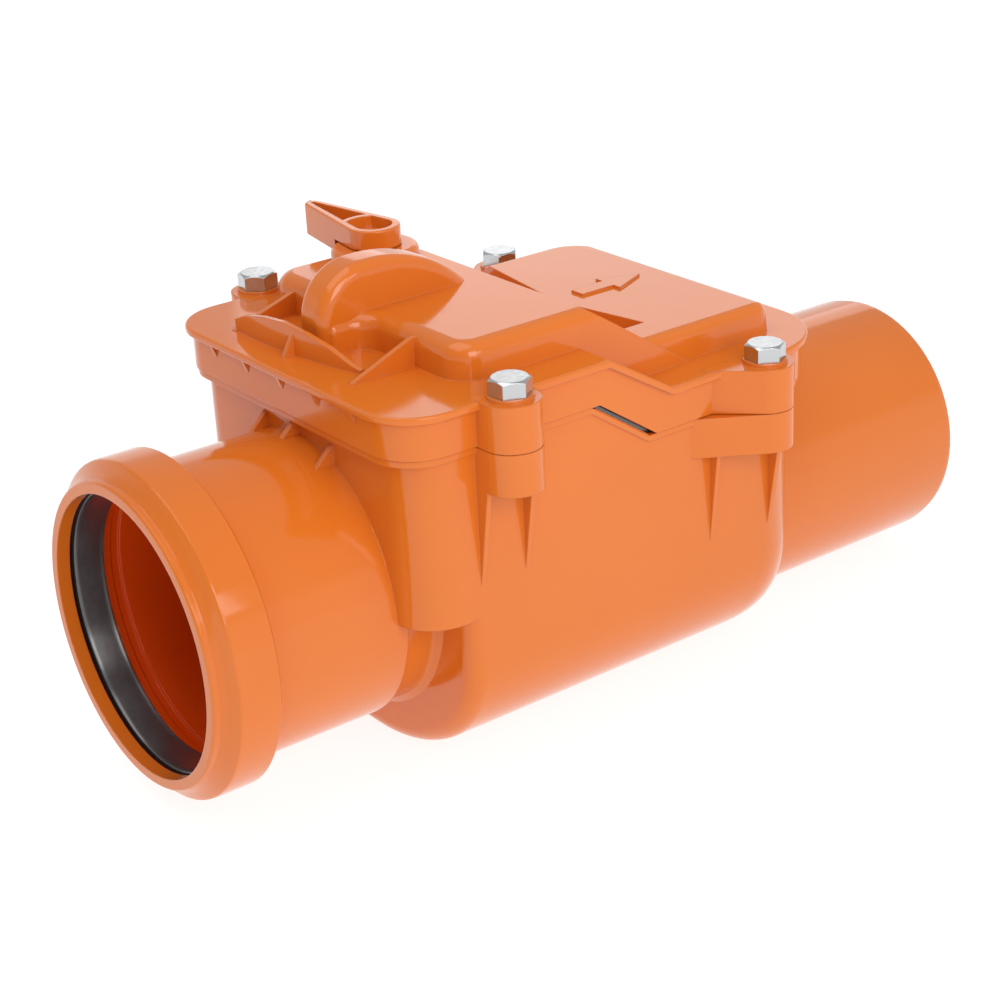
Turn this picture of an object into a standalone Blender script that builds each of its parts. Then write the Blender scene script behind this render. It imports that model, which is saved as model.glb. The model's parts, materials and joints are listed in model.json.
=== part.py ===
"""Backwater valve for a 110 mm drain.

A moulded housing with a pipe socket and a spigot, a stepped bolted cover, a tilted
flap on a hinge inside, and a hand lever whose shaft carries a locking finger.

Stations (x) run from the mouth of the socket along the flow, y is across, and
heights (z) are taken from the axis of the socket. The empty named valve moves all
of it so that the origin is under the middle of the object, on its lowest face.
"""
import math

import bpy
import bmesh
from mathutils import Matrix, Vector

# Clearances
GAP = 0.0003
RUN = 0.0003
OVER = 0.0010

# Overall
TOTAL_LENGTH = 0.3892
SEGMENTS = 40
SMALL = 16
CORNER_STEPS = 5
WALL = 0.0040

# Pipe and waterway
PIPE_R = 0.0550
WATERWAY_STEP = 0.0030
WATERWAY_R = PIPE_R - WATERWAY_STEP

# Socket
SOCKET_PLAY = 0.0008
SOCKET_R = PIPE_R + SOCKET_PLAY
MOUTH_WALL = 0.0048
MOUTH_R = SOCKET_R + MOUTH_WALL
MOUTH_LENGTH = 0.0030
THROAT_WALL = 0.0064
THROAT_R = SOCKET_R + THROAT_WALL
COLLAR_WALL = 0.0112
COLLAR_R = SOCKET_R + COLLAR_WALL
COLLAR_START = 0.0078
COLLAR_END = 0.0251
SOCKET_WALL = 0.0038
SOCKET_TUBE_R = SOCKET_R + SOCKET_WALL
SOCKET_TUBE_END = 0.0850
SOCKET_DEPTH = 0.0680
NECK_WALL = 0.0046
NECK_R = WATERWAY_R + NECK_WALL

# Seal of the socket
SEAL_START = 0.0066
SEAL_LENGTH = 0.0096
SEAL_GROOVE = 0.0066
SEAL_GROOVE_R = SOCKET_R + SEAL_GROOVE
SEAL_REACH = 0.0030
SEAL_LIP_R = SOCKET_R - SEAL_REACH

# Tilted seat
TILT = math.radians(10.0)
SEAT_X = 0.1100
SEAT_EASE = 0.0010
SEAT_BORE_R = WATERWAY_R + SEAT_EASE
SEAT_LAND = 0.0090
SEAT_RING_R = SEAT_BORE_R + SEAT_LAND
SEAT_RING = 0.0040
STUB_WALL = 0.0080
STUB_R = WATERWAY_R + STUB_WALL

# Housing
SIDE_ROOM = 0.0110
FLOOR_ROOM = 0.0090
HEAD_ROOM = 0.0074
BODY_FRONT = 0.0803
BODY_BACK = 0.2804
BODY_HALF = SEAT_RING_R + SIDE_ROOM + WALL
BODY_CORNER = 0.0180
BODY_BACK_CORNER = 0.0310
SHELF = 0.0
TROUGH_DEPTH = SEAT_RING_R + FLOOR_ROOM + WALL
TROUGH_FRONT = 0.1010
TROUGH_SPRING = 0.0200
TROUGH_FLAT = 0.0060
TROUGH_EDGE = 0.0070
TROUGH_BACK_EDGE = 0.0085
TROUGH_LAP = 0.0120
RIM_OUT = 0.0010
RIM_INLET_OUT = 0.0048
RIM_OUTLET_OUT = 0.0071
RIM_HEIGHT = 0.0026
GASKET_W = 0.0022
GASKET_SEAT = 0.0030

# Spigot
SPIGOT_DROP = 0.0188
SPIGOT_WALL = 0.0038
SPIGOT_TAPER = 0.0035
SPIGOT_NOSE = 0.0009

# Parting line and its step
PARTING = SEAT_RING_R + HEAD_ROOM
STEP = 0.0192
RIM_SLOPE_START = 0.1613
RIM_SLOPE_RUN = 0.0279
SLOPE_SLOT = 0.0033
PLATE_RISE = 0.0178
PLATE_TOP = PARTING + PLATE_RISE
PLATE_SLOPE_START = 0.1680
PLATE_SLOPE_RUN = 0.0312
PLATE = 0.0035
LIP = 0.0032
LIP_OUT = 0.0027
LIP_EDGE = 0.0010
SKIRT_OUT = 0.0008
SKIRT = 0.0036
SKIRT_FOOT = 0.0040

# Bolts and bosses
BOLT_INLET_X = 0.1186
BOLT_OUTLET_X = 0.2434
BOLT_OUT = 0.0079
BOLT_Y = BODY_HALF + BOLT_OUT
BOSS_R = 0.0115
BOSS_DEPTH = 0.0166
BOSS_WEB = 0.0324
COVER_WEB = 0.0244
COLLET = 0.0016
COLLET_R = 0.0088
BOLT_R = 0.0049
HEAD_FLATS = 0.0144
HEAD_HEIGHT = 0.0064
BOLT_LENGTH = 0.0350
NUT_HEIGHT = 0.0080
RIB = 0.0022
RIB_DROP = 0.0410
RIB_DEPTH = 0.0066
RIB_SET_BACK = 0.0110

# Gussets on the socket tube and under the lip
WEB = 0.0022
GUSSET_Y = (0.0222, -0.0008, -0.0238)
GUSSET_RUN = 0.0081
GUSSET_RISE = 0.0085
TINY_Y = (0.0470, 0.0235, -0.0010, -0.0255, -0.0495)
TINY_DROP = 0.0045
TINY_HALF = 0.0010

# Platforms on the cover
DECK_START = 0.1115
DECK_JOIN = 0.2300
DECK_END = 0.2718
DECK_INSET = 0.0125
DECK_HALF = BODY_HALF - DECK_INSET
DECK_FAR = 0.0040
DECK_RISE = 0.0138
DECK_TOP = PLATE_TOP + DECK_RISE
DECK_CORNER = 0.0130
DECK_BACK_CORNER = 0.0095
DECK_ROUND = 0.0065
DECK_DRAFT = 0.0012
RIDGE_X = 0.1732
LOW_DECK_RISE = 0.0125
LOW_DECK_TOP = PLATE_TOP - STEP + LOW_DECK_RISE
LOW_DECK_START = 0.1500
LOW_DECK_DROP = 0.0015
LOW_DECK_ROUND = 0.0035
LOW_DECK_BACK_ROUND = 0.0075
CHANNEL_START = 0.2035
CHANNEL_MIDDLE = 0.2085
CHANNEL_END = 0.2168
CHANNEL_HALF = 0.0440
CHANNEL_DEPTH = 0.0055

# Flap
FLAP_LAP = 0.0060
FLAP_R = SEAT_BORE_R + FLAP_LAP
FLAP_PLATE = 0.0050
SEAL_T = 0.0025
SEAL_BITE = 0.0043
SEAL_INNER_R = SEAT_BORE_R - SEAL_BITE
SEAL_OVER = 0.0010
SEAL_OUTER_R = FLAP_R + SEAL_OVER
RETAINER_OVER = 0.0028
RETAINER_T = 0.0015
HINGE_RISE = 0.0040
HINGE_S = SEAT_RING_R + HINGE_RISE
HINGE_N = 0.0160
HINGE_PIN_R = 0.0030
KNUCKLE_R = 0.0062
KNUCKLE_HALF = 0.0115
LUG = 0.0070
HORN_LENGTH = 0.0380
HORN_ANGLE = math.radians(7.0)
HORN_T = 0.0060
HORN_Y = 0.0060
HORN_W = 0.0072
SCREW_R = 0.0020
SCREW_INSET = 0.0127
SCREW_PITCH_R = SEAL_INNER_R - SCREW_INSET

# Dome over the horn of the flap, and the ledge of the platform beside it
DOME_HALF = 0.0090
DOME_Y0 = HORN_Y - DOME_HALF
DOME_Y1 = HORN_Y + DOME_HALF
DOME_X0 = 0.0932
DOME_CREST_X = 0.1200
DOME_RISE = 0.0186
DOME_TOP = DECK_TOP + DOME_RISE
DOME_FRONT_R = 0.0220
DOME_BACK_R = 0.0590
DOME_BACK_ANGLE = 40.0
DOME_EDGE = 0.0050
DOME_WALL = 0.0035
LEDGE = 0.0025
LEDGE_X = DOME_X0 + 0.0018
LEDGE_BEND = 0.0075
LEDGE_CORNER = 0.0040

# Webs on the plate
WEB_TIP = 0.0842
WEB_Y = (0.0480, -0.0338)
WEB_RISE = (0.0093, 0.0113)
CREST_X = 0.0850
CREST_Y = 0.0350
CREST_R = 0.2500
CREST_PROFILE = (
    (0.0600, 0.0020),
    (0.0480, 0.0048),
    (0.0400, 0.0082),
    (0.0270, 0.0108),
    (0.0140, 0.0118),
    (0.0000, 0.0102),
    (-0.0120, 0.0074),
    (-0.0230, 0.0026),
    (-0.0310, 0.0004),
    (-0.0600, 0.0004),
)
CREST_RIB_Y = 0.0082
CREST_RIB_RISE = 0.0086
ARROW_X = 0.2200
ARROW_Y = 0.0015
ARROW_SHAFT = 0.0165
ARROW_HEAD = 0.0175
ARROW_HALF = 0.0036
ARROW_BARB = 0.0078
ARROW_HEIGHT = 0.0010

# Lever and its shaft
LEVER_X = 0.1530
LEVER_INSET = 0.0165
LEVER_Y = DECK_HALF - LEVER_INSET
TURRET_R = 0.0180
TURRET = 0.0060
TURRET_EDGE = 0.0026
SLEEVE_R = 0.0120
SHAFT_R = 0.0075
LEVER_RISE = 0.0005
LEVER_HEIGHT = 0.0081
LEVER_DROP = 0.0055
LEVER_EDGE = 0.0008
LEVER_R = 0.0110
LEVER_REACH = 0.0445
LEVER_TIP_R = 0.0035
LEVER_WALL = 0.0032
ORING_T = 0.0018
FINGER_RISE = 0.0062
FINGER_Z = PARTING + FINGER_RISE
FINGER_T = 0.0062
FINGER_LAP = 0.0020
FINGER_REACH = LEVER_Y - HORN_Y + FINGER_LAP
FINGER_W = 0.0090
FINGER_HUB_R = 0.0095
FINGER_ANGLE = math.radians(172.0)
FINGER_SCREW_R = 0.0017
SQUARE = 0.0042
SLEEVE_ROOM = 0.0027
SLEEVE_END = FINGER_Z + FINGER_T + SLEEVE_ROOM
HEAD_TURNS = (5.0, -2.0, 49.0, 21.0)

ORANGE = (0.74, 0.17, 0.025, 1.0)
RUBBER = (0.012, 0.012, 0.013, 1.0)
STEEL = (0.62, 0.63, 0.64, 1.0)
GREY = (0.10, 0.10, 0.11, 1.0)

SURFACES = {
    "pvc_orange": (ORANGE, 0.28, 0.0),
    "rubber_black": (RUBBER, 0.55, 0.0),
    "zinc_steel": (STEEL, 0.30, 1.0),
    "abs_grey": (GREY, 0.40, 0.0),
}


def clear_scene():
    for old in list(bpy.data.objects):
        bpy.data.objects.remove(old, do_unlink=True)
    for old in list(bpy.data.collections):
        bpy.data.collections.remove(old)


def material(name):
    made = bpy.data.materials.get(name)
    if made is not None:
        return made
    colour, roughness, metallic = SURFACES[name]
    made = bpy.data.materials.new(name)
    made.use_nodes = True
    shader = made.node_tree.nodes["Principled BSDF"]
    shader.inputs["Base Color"].default_value = colour
    shader.inputs["Roughness"].default_value = roughness
    shader.inputs["Metallic"].default_value = metallic
    return made


def link(obj):
    bpy.context.scene.collection.objects.link(obj)
    return obj


def baked(obj, turn_out=False):
    """Replace an object by the plain mesh that its modifiers and place give it."""
    bpy.context.view_layer.update()
    graph = bpy.context.evaluated_depsgraph_get()
    mesh = bpy.data.meshes.new_from_object(obj.evaluated_get(graph))
    mesh.transform(obj.matrix_world)
    shape = bmesh.new()
    shape.from_mesh(mesh)
    bmesh.ops.remove_doubles(shape, verts=shape.verts, dist=0.000002)
    bmesh.ops.dissolve_degenerate(shape, dist=0.000002, edges=shape.edges)
    loose = [edge for edge in shape.edges if not edge.link_faces]
    bmesh.ops.delete(shape, geom=loose, context="EDGES")
    if turn_out:
        bmesh.ops.recalc_face_normals(shape, faces=shape.faces)
    shape.to_mesh(mesh)
    shape.free()
    name = obj.name
    bpy.data.objects.remove(obj, do_unlink=True)
    return link(bpy.data.objects.new(name, mesh))


def boolean(target, tool, operation):
    change = target.modifiers.new(operation.lower(), "BOOLEAN")
    change.operation = operation
    change.solver = "EXACT"
    change.object = tool
    result = baked(target)
    bpy.data.objects.remove(tool, do_unlink=True)
    return result


def cut(target, *tools):
    for tool in tools:
        target = boolean(target, tool, "DIFFERENCE")
    return target


def join(target, *tools):
    for tool in tools:
        target = boolean(target, tool, "UNION")
    return target


def meet(target, tool):
    return boolean(target, tool, "INTERSECT")


def outline(name, points, low, high, plane="XY"):
    """A flat closed outline, extruded from low to high square to its plane."""
    curve = bpy.data.curves.new(name, "CURVE")
    curve.dimensions = "2D"
    curve.fill_mode = "BOTH"
    curve.extrude = (high - low) / 2
    spline = curve.splines.new("POLY")
    spline.points.add(len(points) - 1)
    for place, point in zip(spline.points, points):
        place.co = (point[0], point[1], 0.0, 1.0)
    spline.use_cyclic_u = True
    obj = link(bpy.data.objects.new(name, curve))
    middle = (low + high) / 2
    if plane == "XY":
        obj.matrix_world = Matrix.Translation((0, 0, middle))
    elif plane == "XZ":
        turn = Matrix.Rotation(math.pi / 2, 4, "X")
        obj.matrix_world = Matrix.Translation((0, middle, 0)) @ turn
    else:
        turn = Matrix(((0, 0, 1, 0), (1, 0, 0, 0), (0, 1, 0, 0), (0, 0, 0, 1)))
        obj.matrix_world = Matrix.Translation((middle, 0, 0)) @ turn
    return baked(obj, True)


def arc(cx, cy, radius, start, end, steps):
    points = []
    for i in range(steps + 1):
        a = math.radians(start + (end - start) * i / steps)
        points.append((cx + radius * math.cos(a), cy + radius * math.sin(a)))
    return points


def rounded(x0, x1, half, radius, back, steps=CORNER_STEPS):
    """A rectangle with one corner radius in front and another at the back."""
    points = arc(x1 - back, -half + back, back, -90, 0, steps)
    points += arc(x1 - back, half - back, back, 0, 90, steps)
    points += arc(x0 + radius, half - radius, radius, 90, 180, steps)
    points += arc(x0 + radius, -half + radius, radius, 180, 270, steps)
    return points


def body_outline(inset):
    """The plan of the housing's walls, moved in by a distance."""
    return rounded(BODY_FRONT + inset, BODY_BACK - inset, BODY_HALF - inset, BODY_CORNER - inset,
                   BODY_BACK_CORNER - inset)


def box(name, x0, x1, y0, y1, z0, z1):
    bpy.ops.mesh.primitive_cube_add(size=1.0)
    obj = bpy.context.object
    obj.name = name
    obj.scale = (x1 - x0, y1 - y0, z1 - z0)
    obj.location = ((x0 + x1) / 2, (y0 + y1) / 2, (z0 + z1) / 2)
    return baked(obj)


def rod(name, radius, start, end, segments=SMALL):
    """A cylinder between two points."""
    start = Vector(start)
    end = Vector(end)
    bpy.ops.mesh.primitive_cylinder_add(vertices=segments, radius=radius, depth=(end - start).length)
    obj = bpy.context.object
    obj.name = name
    turn = (end - start).to_track_quat("Z", "Y").to_matrix().to_4x4()
    obj.matrix_world = Matrix.Translation((start + end) / 2) @ turn
    return baked(obj)


def turned(name, profile, frame, segments=SEGMENTS):
    """A profile of (radius, height) pairs, closed on itself, turned about local Z."""
    mesh = bpy.data.meshes.new(name)
    count = len(profile)
    mesh.from_pydata([(r, 0.0, h) for r, h in profile], [(i, (i + 1) % count) for i in range(count)], [])
    obj = link(bpy.data.objects.new(name, mesh))
    screw = obj.modifiers.new("turn", "SCREW")
    screw.steps = segments
    screw.render_steps = segments
    screw.use_merge_vertices = True
    screw.merge_threshold = 0.00001
    obj.matrix_world = frame
    return baked(obj, True)


def along_x(x=0.0, y=0.0, z=0.0):
    """Local Z runs along the flow."""
    turn = Matrix(((0, 0, 1, 0), (0, 1, 0, 0), (-1, 0, 0, 0), (0, 0, 0, 1)))
    return Matrix.Translation((x, y, z)) @ turn


def upright(x=0.0, y=0.0, z=0.0):
    return Matrix.Translation((x, y, z))


def softened(obj, width, segments=2, angle=35.0):
    bevel = obj.modifiers.new("round", "BEVEL")
    bevel.use_clamp_overlap = False
    bevel.width = width
    bevel.segments = segments
    bevel.limit_method = "ANGLE"
    bevel.angle_limit = math.radians(angle)
    return baked(obj)


def finish(obj, name, surface, pivot=None):
    """Name a piece, shade it, give it its material and put its origin on its axis."""
    obj.name = name
    obj.data.name = name
    if pivot is not None:
        obj.data.transform(Matrix.Translation(-Vector(pivot)))
        obj.location = pivot
    obj.data.materials.clear()
    obj.data.materials.append(material(surface))
    obj.data.shade_smooth()
    obj.data.set_sharp_from_angle(angle=math.radians(30.0))
    return obj


# The stepped line that parts the cover from the housing

def stepped(high, start, run, low_end, high_end):
    """The points of a stepped line: level, down the slope, level again."""
    return [(low_end, high), (start, high), (start + run, high - STEP), (high_end, high - STEP)]


def band(name, lower, upper, half=0.13):
    """The room between two stepped lines, wider than the part."""
    return outline(name, lower + upper[::-1], -half, half, "XZ")


FAR_LOW = -0.02
FAR_HIGH = 0.42


def rim_line(shift=0.0):
    return stepped(PARTING + shift, RIM_SLOPE_START, RIM_SLOPE_RUN, FAR_LOW, FAR_HIGH)


def skirt_line(shift=0.0):
    start = RIM_SLOPE_START + SLOPE_SLOT
    return stepped(PARTING + shift, start, RIM_SLOPE_RUN, FAR_LOW, FAR_HIGH)


def plate_line(shift=0.0):
    return stepped(PLATE_TOP + shift, PLATE_SLOPE_START, PLATE_SLOPE_RUN, FAR_LOW, FAR_HIGH)


def level_line(height):
    return [(FAR_LOW, height), (FAR_HIGH, height)]


RIM_FRONT = BODY_FRONT - RIM_INLET_OUT
RIM_BACK = BODY_BACK + RIM_OUTLET_OUT
RIM_HALF = BODY_HALF + RIM_OUT
RIM_CORNER = BODY_CORNER + RIM_OUT
RIM_BACK_CORNER = BODY_BACK_CORNER + RIM_OUT


def rim_outline(out):
    """The outline of the rim, moved out by a distance."""
    return rounded(RIM_FRONT - out, RIM_BACK + out, RIM_HALF + out, RIM_CORNER + out, RIM_BACK_CORNER + out)


def boss_outline(x, side, web):
    """A round boss with a web to the wall, slanted on its inlet side when the web has a length."""
    root = BODY_HALF - 2 * WALL / 3
    if web > 0:
        reach = x - web
        dx = x - reach
        dy = BOLT_Y - BODY_HALF
        span = math.hypot(dx, dy)
        angle = math.atan2(dy, dx) + math.asin(BOSS_R / span)
        start = math.degrees(angle) + 90.0
        points = [(x + BOSS_R, root), (reach, root), (reach, BODY_HALF)]
        points += arc(x, BOLT_Y, BOSS_R, start, 0, 10)
    else:
        points = [(x + BOSS_R, root), (x - BOSS_R, root)]
        points += arc(x, BOLT_Y, BOSS_R, 180, 0, 12)
    return [(px, side * py) for px, py in points]


def boss_sites():
    return [
        (1, BOLT_INLET_X, -1, False, 0.0),
        (2, BOLT_OUTLET_X, -1, True, STEP),
        (3, BOLT_INLET_X, 1, False, 0.0),
        (4, BOLT_OUTLET_X, 1, True, STEP),
    ]


# Housing

def trough_section(inset, lift, top, steps):
    """The cross-section of the trough, its sides moved in by inset and its floor up by lift."""
    half = BODY_HALF - inset
    depth = TROUGH_DEPTH - TROUGH_SPRING - lift
    flat = TROUGH_FLAT
    side = []
    for i in range(steps + 1):
        a = math.radians(90.0 * i / steps)
        side.append((flat + (half - flat) * math.cos(a), -TROUGH_SPRING - depth * math.sin(a)))
    points = [(half, top)] + side
    return points + [(-y, z) for y, z in reversed(points)]


def loft(name, sections):
    """A closed solid through sections of equal count, each a station and its points."""
    shape = bmesh.new()
    rings = []
    for x, points in sections:
        rings.append([shape.verts.new((x, y, z)) for y, z in points])
    for a, b in zip(rings[:-1], rings[1:]):
        for i in range(len(a)):
            j = (i + 1) % len(a)
            shape.faces.new((a[i], a[j], b[j], b[i]))
    shape.faces.new(rings[0])
    shape.faces.new(rings[-1])
    bmesh.ops.recalc_face_normals(shape, faces=shape.faces)
    mesh = bpy.data.meshes.new(name)
    shape.to_mesh(mesh)
    shape.free()
    return baked(link(bpy.data.objects.new(name, mesh)))


def edge_pull(distance, radius, steps):
    """How far a rounded edge, drawn in steps, lies inside its corner at a distance from the end."""
    for i in range(steps):
        a = math.radians(90.0 * i / steps)
        b = math.radians(90.0 * (i + 1) / steps)
        far = radius * (1.0 - math.sin(a))
        near = radius * (1.0 - math.sin(b))
        if near <= distance <= far:
            share = (far - distance) / (far - near)
            return radius * (1.0 - math.cos(a) * (1.0 - share) - math.cos(b) * share)
    return 0.0


def trough(name, front, back, inset, top, front_edge, back_corner, back_edge, steps):
    sections = []
    for i in range(5):
        a = math.radians(90.0 * i / 4)
        pull = front_edge * (1.0 - math.sin(a))
        section = trough_section(inset + pull, inset + pull, top, steps)
        sections.append((front + front_edge * (1.0 - math.cos(a)), section))
    reaches = [back_corner * (1.0 - math.sin(math.radians(90.0 * i / CORNER_STEPS))) for i in range(CORNER_STEPS)]
    reaches += [back_edge * (1.0 - math.sin(math.radians(90.0 * i / 4))) for i in range(4)]
    for reach in sorted(reaches, reverse=True) + [0.0]:
        aside = edge_pull(reach, back_corner, CORNER_STEPS)
        lift = edge_pull(reach, back_edge, 4)
        sections.append((back - reach, trough_section(inset + aside, inset + lift, top, steps)))
    return loft(name, sections)


def housing():
    roof = level_line(PARTING - RIM_HEIGHT / 2)
    body = outline("body", body_outline(0.0), SHELF, 0.12)
    body = join(body, trough("trough", TROUGH_FRONT, BODY_BACK, 0.0, SHELF + TROUGH_LAP, TROUGH_EDGE,
                             BODY_BACK_CORNER, TROUGH_BACK_EDGE, 10))
    top = rim_line(-GAP / 2)
    body = meet(body, band("under_rim", level_line(-0.2), top))
    rim = outline("rim", rim_outline(0.0), 0.0, 0.12)
    rim = meet(rim, band("rim_band", rim_line(-GAP / 2 - RIM_HEIGHT), top))
    body = join(body, rim)
    tongue = outline("tongue", body_outline(0.0), 0.0, 0.12)
    tongue = meet(tongue, band("tongue_band", rim_line(-RIM_HEIGHT), skirt_line(-GAP / 2)))
    body = join(body, tongue)
    for number, x, side, chamfer, drop in boss_sites():
        high = PARTING - drop - GAP / 2
        low = PARTING - drop - BOSS_DEPTH
        boss = outline("boss", boss_outline(x, side, BOSS_WEB if chamfer else 0.0), low, high)
        body = join(body, boss)
        for shift in (-BOSS_R + RIB / 2, BOSS_R - RIB / 2):
            reach = RIB_DEPTH
            rib_x = x + shift
            if chamfer and shift < 0:
                reach = 0.7 * RIB_DEPTH
                rib_x = x - BOSS_WEB + RIB_SET_BACK
            inner = BODY_HALF - WALL / 2
            wedge = [
                (side * inner, low + OVER),
                (side * (BODY_HALF + reach), low + OVER),
                (side * (BODY_HALF + reach), low - 0.0008),
                (side * (BODY_HALF - 0.0002), low - RIB_DROP),
                (side * inner, low - RIB_DROP),
            ]
            body = join(body, outline("rib", wedge, rib_x - RIB / 2, rib_x + RIB / 2, "YZ"))
    stub_profile = [
        (COLLAR_R - 0.0012, COLLAR_END),
        (SOCKET_TUBE_R, COLLAR_END),
        (SOCKET_TUBE_R, SOCKET_TUBE_END),
        (NECK_R, SOCKET_TUBE_END + 0.0008),
        (NECK_R, TROUGH_FRONT - 0.0040),
        (NECK_R + 0.0012, TROUGH_FRONT - 0.0016),
        (NECK_R + 0.0040, TROUGH_FRONT + 0.0002),
        (STUB_R, TROUGH_FRONT + WALL / 2),
        (STUB_R, SEAT_X + 0.0200),
        (SOCKET_R - 0.012, SEAT_X + 0.0200),
        (SOCKET_R - 0.012, 0.0),
        (MOUTH_R - 0.0008, 0.0),
        (MOUTH_R, 0.0008),
        (MOUTH_R, MOUTH_LENGTH),
        (THROAT_R - 0.0006, MOUTH_LENGTH + 0.0010),
        (THROAT_R + 0.0010, MOUTH_LENGTH + 0.0026),
        (COLLAR_R - 0.0016, COLLAR_START - 0.0012),
        (COLLAR_R - 0.0003, COLLAR_START),
        (COLLAR_R, COLLAR_START + 0.0016),
        (COLLAR_R, COLLAR_END - 0.0010),
    ]
    sleeve = turned("sleeve", stub_profile, along_x())
    plane = seat_side("sleeve_end", -SEAT_RING - GAP, 0.09)
    sleeve = cut(sleeve, plane)
    end = TOTAL_LENGTH
    pipe = [(PIPE_R, BODY_BACK - 0.0200), (0.0, BODY_BACK - 0.0200), (0.0, end), (PIPE_R - SPIGOT_NOSE, end),
            (PIPE_R, end - SPIGOT_TAPER)]
    body = join(body, turned("spigot", pipe, along_x(z=-SPIGOT_DROP)))
    body = cut(body, hollow_room())
    body = join(body, sleeve)
    bore_profile = [
        (SOCKET_R, -OVER),
        (0.0, -OVER),
        (0.0, SEAT_X + 0.03),
        (WATERWAY_R, SEAT_X + 0.03),
        (WATERWAY_R, SOCKET_DEPTH + 0.0036),
        (SOCKET_R - 0.0006, SOCKET_DEPTH),
        (SOCKET_R - 0.0002, SEAL_START + SEAL_LENGTH + 0.0040),
        (SOCKET_R + 0.0020, SEAL_START + SEAL_LENGTH + 0.0030),
        (SEAL_GROOVE_R, SEAL_START + SEAL_LENGTH + 0.0002),
        (SEAL_GROOVE_R, SEAL_START - 0.0002),
        (SOCKET_R + 0.0002, SEAL_START - 0.0010),
    ]
    body = cut(body, turned("bore", bore_profile, along_x()))
    bore_start = BODY_BACK - 0.0300
    outlet = rod("outlet", PIPE_R - SPIGOT_WALL, (bore_start, 0, -SPIGOT_DROP),
                 (TOTAL_LENGTH + OVER, 0, -SPIGOT_DROP), SEGMENTS)
    body = cut(body, outlet)
    seat = outline("gasket_seat", body_outline(WALL - GASKET_W - GAP), 0.0, 0.12)
    seat = meet(seat, band("seat_band", rim_line(-GASKET_SEAT - GAP / 2), level_line(0.115)))
    body = cut(body, seat)
    for number, x, side, chamfer, drop in boss_sites():
        low = PARTING - drop - BOSS_DEPTH
        y = side * BOLT_Y
        body = cut(body, rod("hole", BOLT_R + GAP, (x, y, low - OVER), (x, y, PARTING + OVER), SMALL))
        pocket = hexagon("pocket", HEAD_FLATS + 2 * GAP, x, side * BOLT_Y, low - OVER, low + NUT_HEIGHT + GAP)
        body = cut(body, pocket)
    toe = BODY_FRONT - GUSSET_RUN
    for y in GUSSET_Y:
        ground = math.sqrt(SOCKET_TUBE_R ** 2 - y ** 2)
        web = [(BODY_FRONT + OVER, ground - 0.0030), (toe, ground - 0.0030), (toe, ground - 0.0002),
               (BODY_FRONT + OVER, ground + GUSSET_RISE)]
        body = join(body, outline("gusset", web, y - WEB / 2, y + WEB / 2, "XZ"))
    return finish(body, "housing", "pvc_orange")


def hollow_room():
    """The room inside the housing."""
    upper = outline("upper_room", body_outline(WALL), SHELF + WALL, 0.13)
    lower = trough("lower_room", TROUGH_FRONT + WALL, BODY_BACK - WALL, WALL, SHELF + WALL + TROUGH_LAP / 2,
                   TROUGH_EDGE - WALL + 0.0006, BODY_BACK_CORNER - WALL, TROUGH_BACK_EDGE - WALL, 8)
    return join(upper, lower)


# Directions in the tilted plane of the seat

SEAT_UP = Vector((-math.sin(TILT), 0.0, math.cos(TILT)))
SEAT_OUT = Vector((math.cos(TILT), 0.0, math.sin(TILT)))
SEAT_CENTRE = Vector((SEAT_X, 0.0, 0.0))


def seat_point(s, n, y=0.0):
    return SEAT_CENTRE + SEAT_UP * s + SEAT_OUT * n + Vector((0.0, y, 0.0))


def seat_frame(n=0.0):
    """Local Z is square to the seat, local X points up along it."""
    turn = Matrix((
        (SEAT_UP.x, 0.0, SEAT_OUT.x, 0.0),
        (SEAT_UP.y, -1.0, SEAT_OUT.y, 0.0),
        (SEAT_UP.z, 0.0, SEAT_OUT.z, 0.0),
        (0.0, 0.0, 0.0, 1.0)))
    return Matrix.Translation(seat_point(0.0, n)) @ turn


def seat_side(name, low, high):
    """All the room between two planes square to the axis of the seat."""
    obj = box(name, -0.2, 0.2, -0.2, 0.2, low, high)
    obj.matrix_world = seat_frame()
    return baked(obj)


def hexagon(name, flats, x, y, low, high, turn=0.0):
    bpy.ops.mesh.primitive_cylinder_add(vertices=6, radius=flats / math.sqrt(3.0), depth=high - low)
    obj = bpy.context.object
    obj.name = name
    obj.location = (x, y, (low + high) / 2)
    obj.rotation_euler = (0.0, 0.0, turn)
    return baked(obj)


def hinge():
    return seat_point(HINGE_S, HINGE_N)


# Cover

def deck_levels(base, top, edge, draft):
    """Heights and pulls of the rings of a drafted wall with a rounded top edge."""
    levels = [(base, 0.0), (top - edge, draft)]
    for i in range(1, 5):
        a = math.radians(90.0 * i / 4)
        levels.append((top - edge + edge * math.sin(a), draft + edge * (1.0 - math.cos(a))))
    return levels


def stacked(name, rings):
    """A closed solid through flat outlines of equal count, each a height and its points."""
    shape = bmesh.new()
    made = [[shape.verts.new((x, y, z)) for x, y in ring] for z, ring in rings]
    for a, b in zip(made[:-1], made[1:]):
        for i in range(len(a)):
            j = (i + 1) % len(a)
            shape.faces.new((a[i], a[j], b[j], b[i]))
    shape.faces.new(made[0][::-1])
    shape.faces.new(made[-1])
    bmesh.ops.recalc_face_normals(shape, faces=shape.faces)
    mesh = bpy.data.meshes.new(name)
    shape.to_mesh(mesh)
    shape.free()
    return baked(link(bpy.data.objects.new(name, mesh)))


def low_outline(pull):
    return rounded(LOW_DECK_START + pull, DECK_END - pull, DECK_HALF - LOW_DECK_DROP - pull,
                   max(DECK_CORNER - pull, OVER), max(DECK_BACK_CORNER - pull, OVER))


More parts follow.
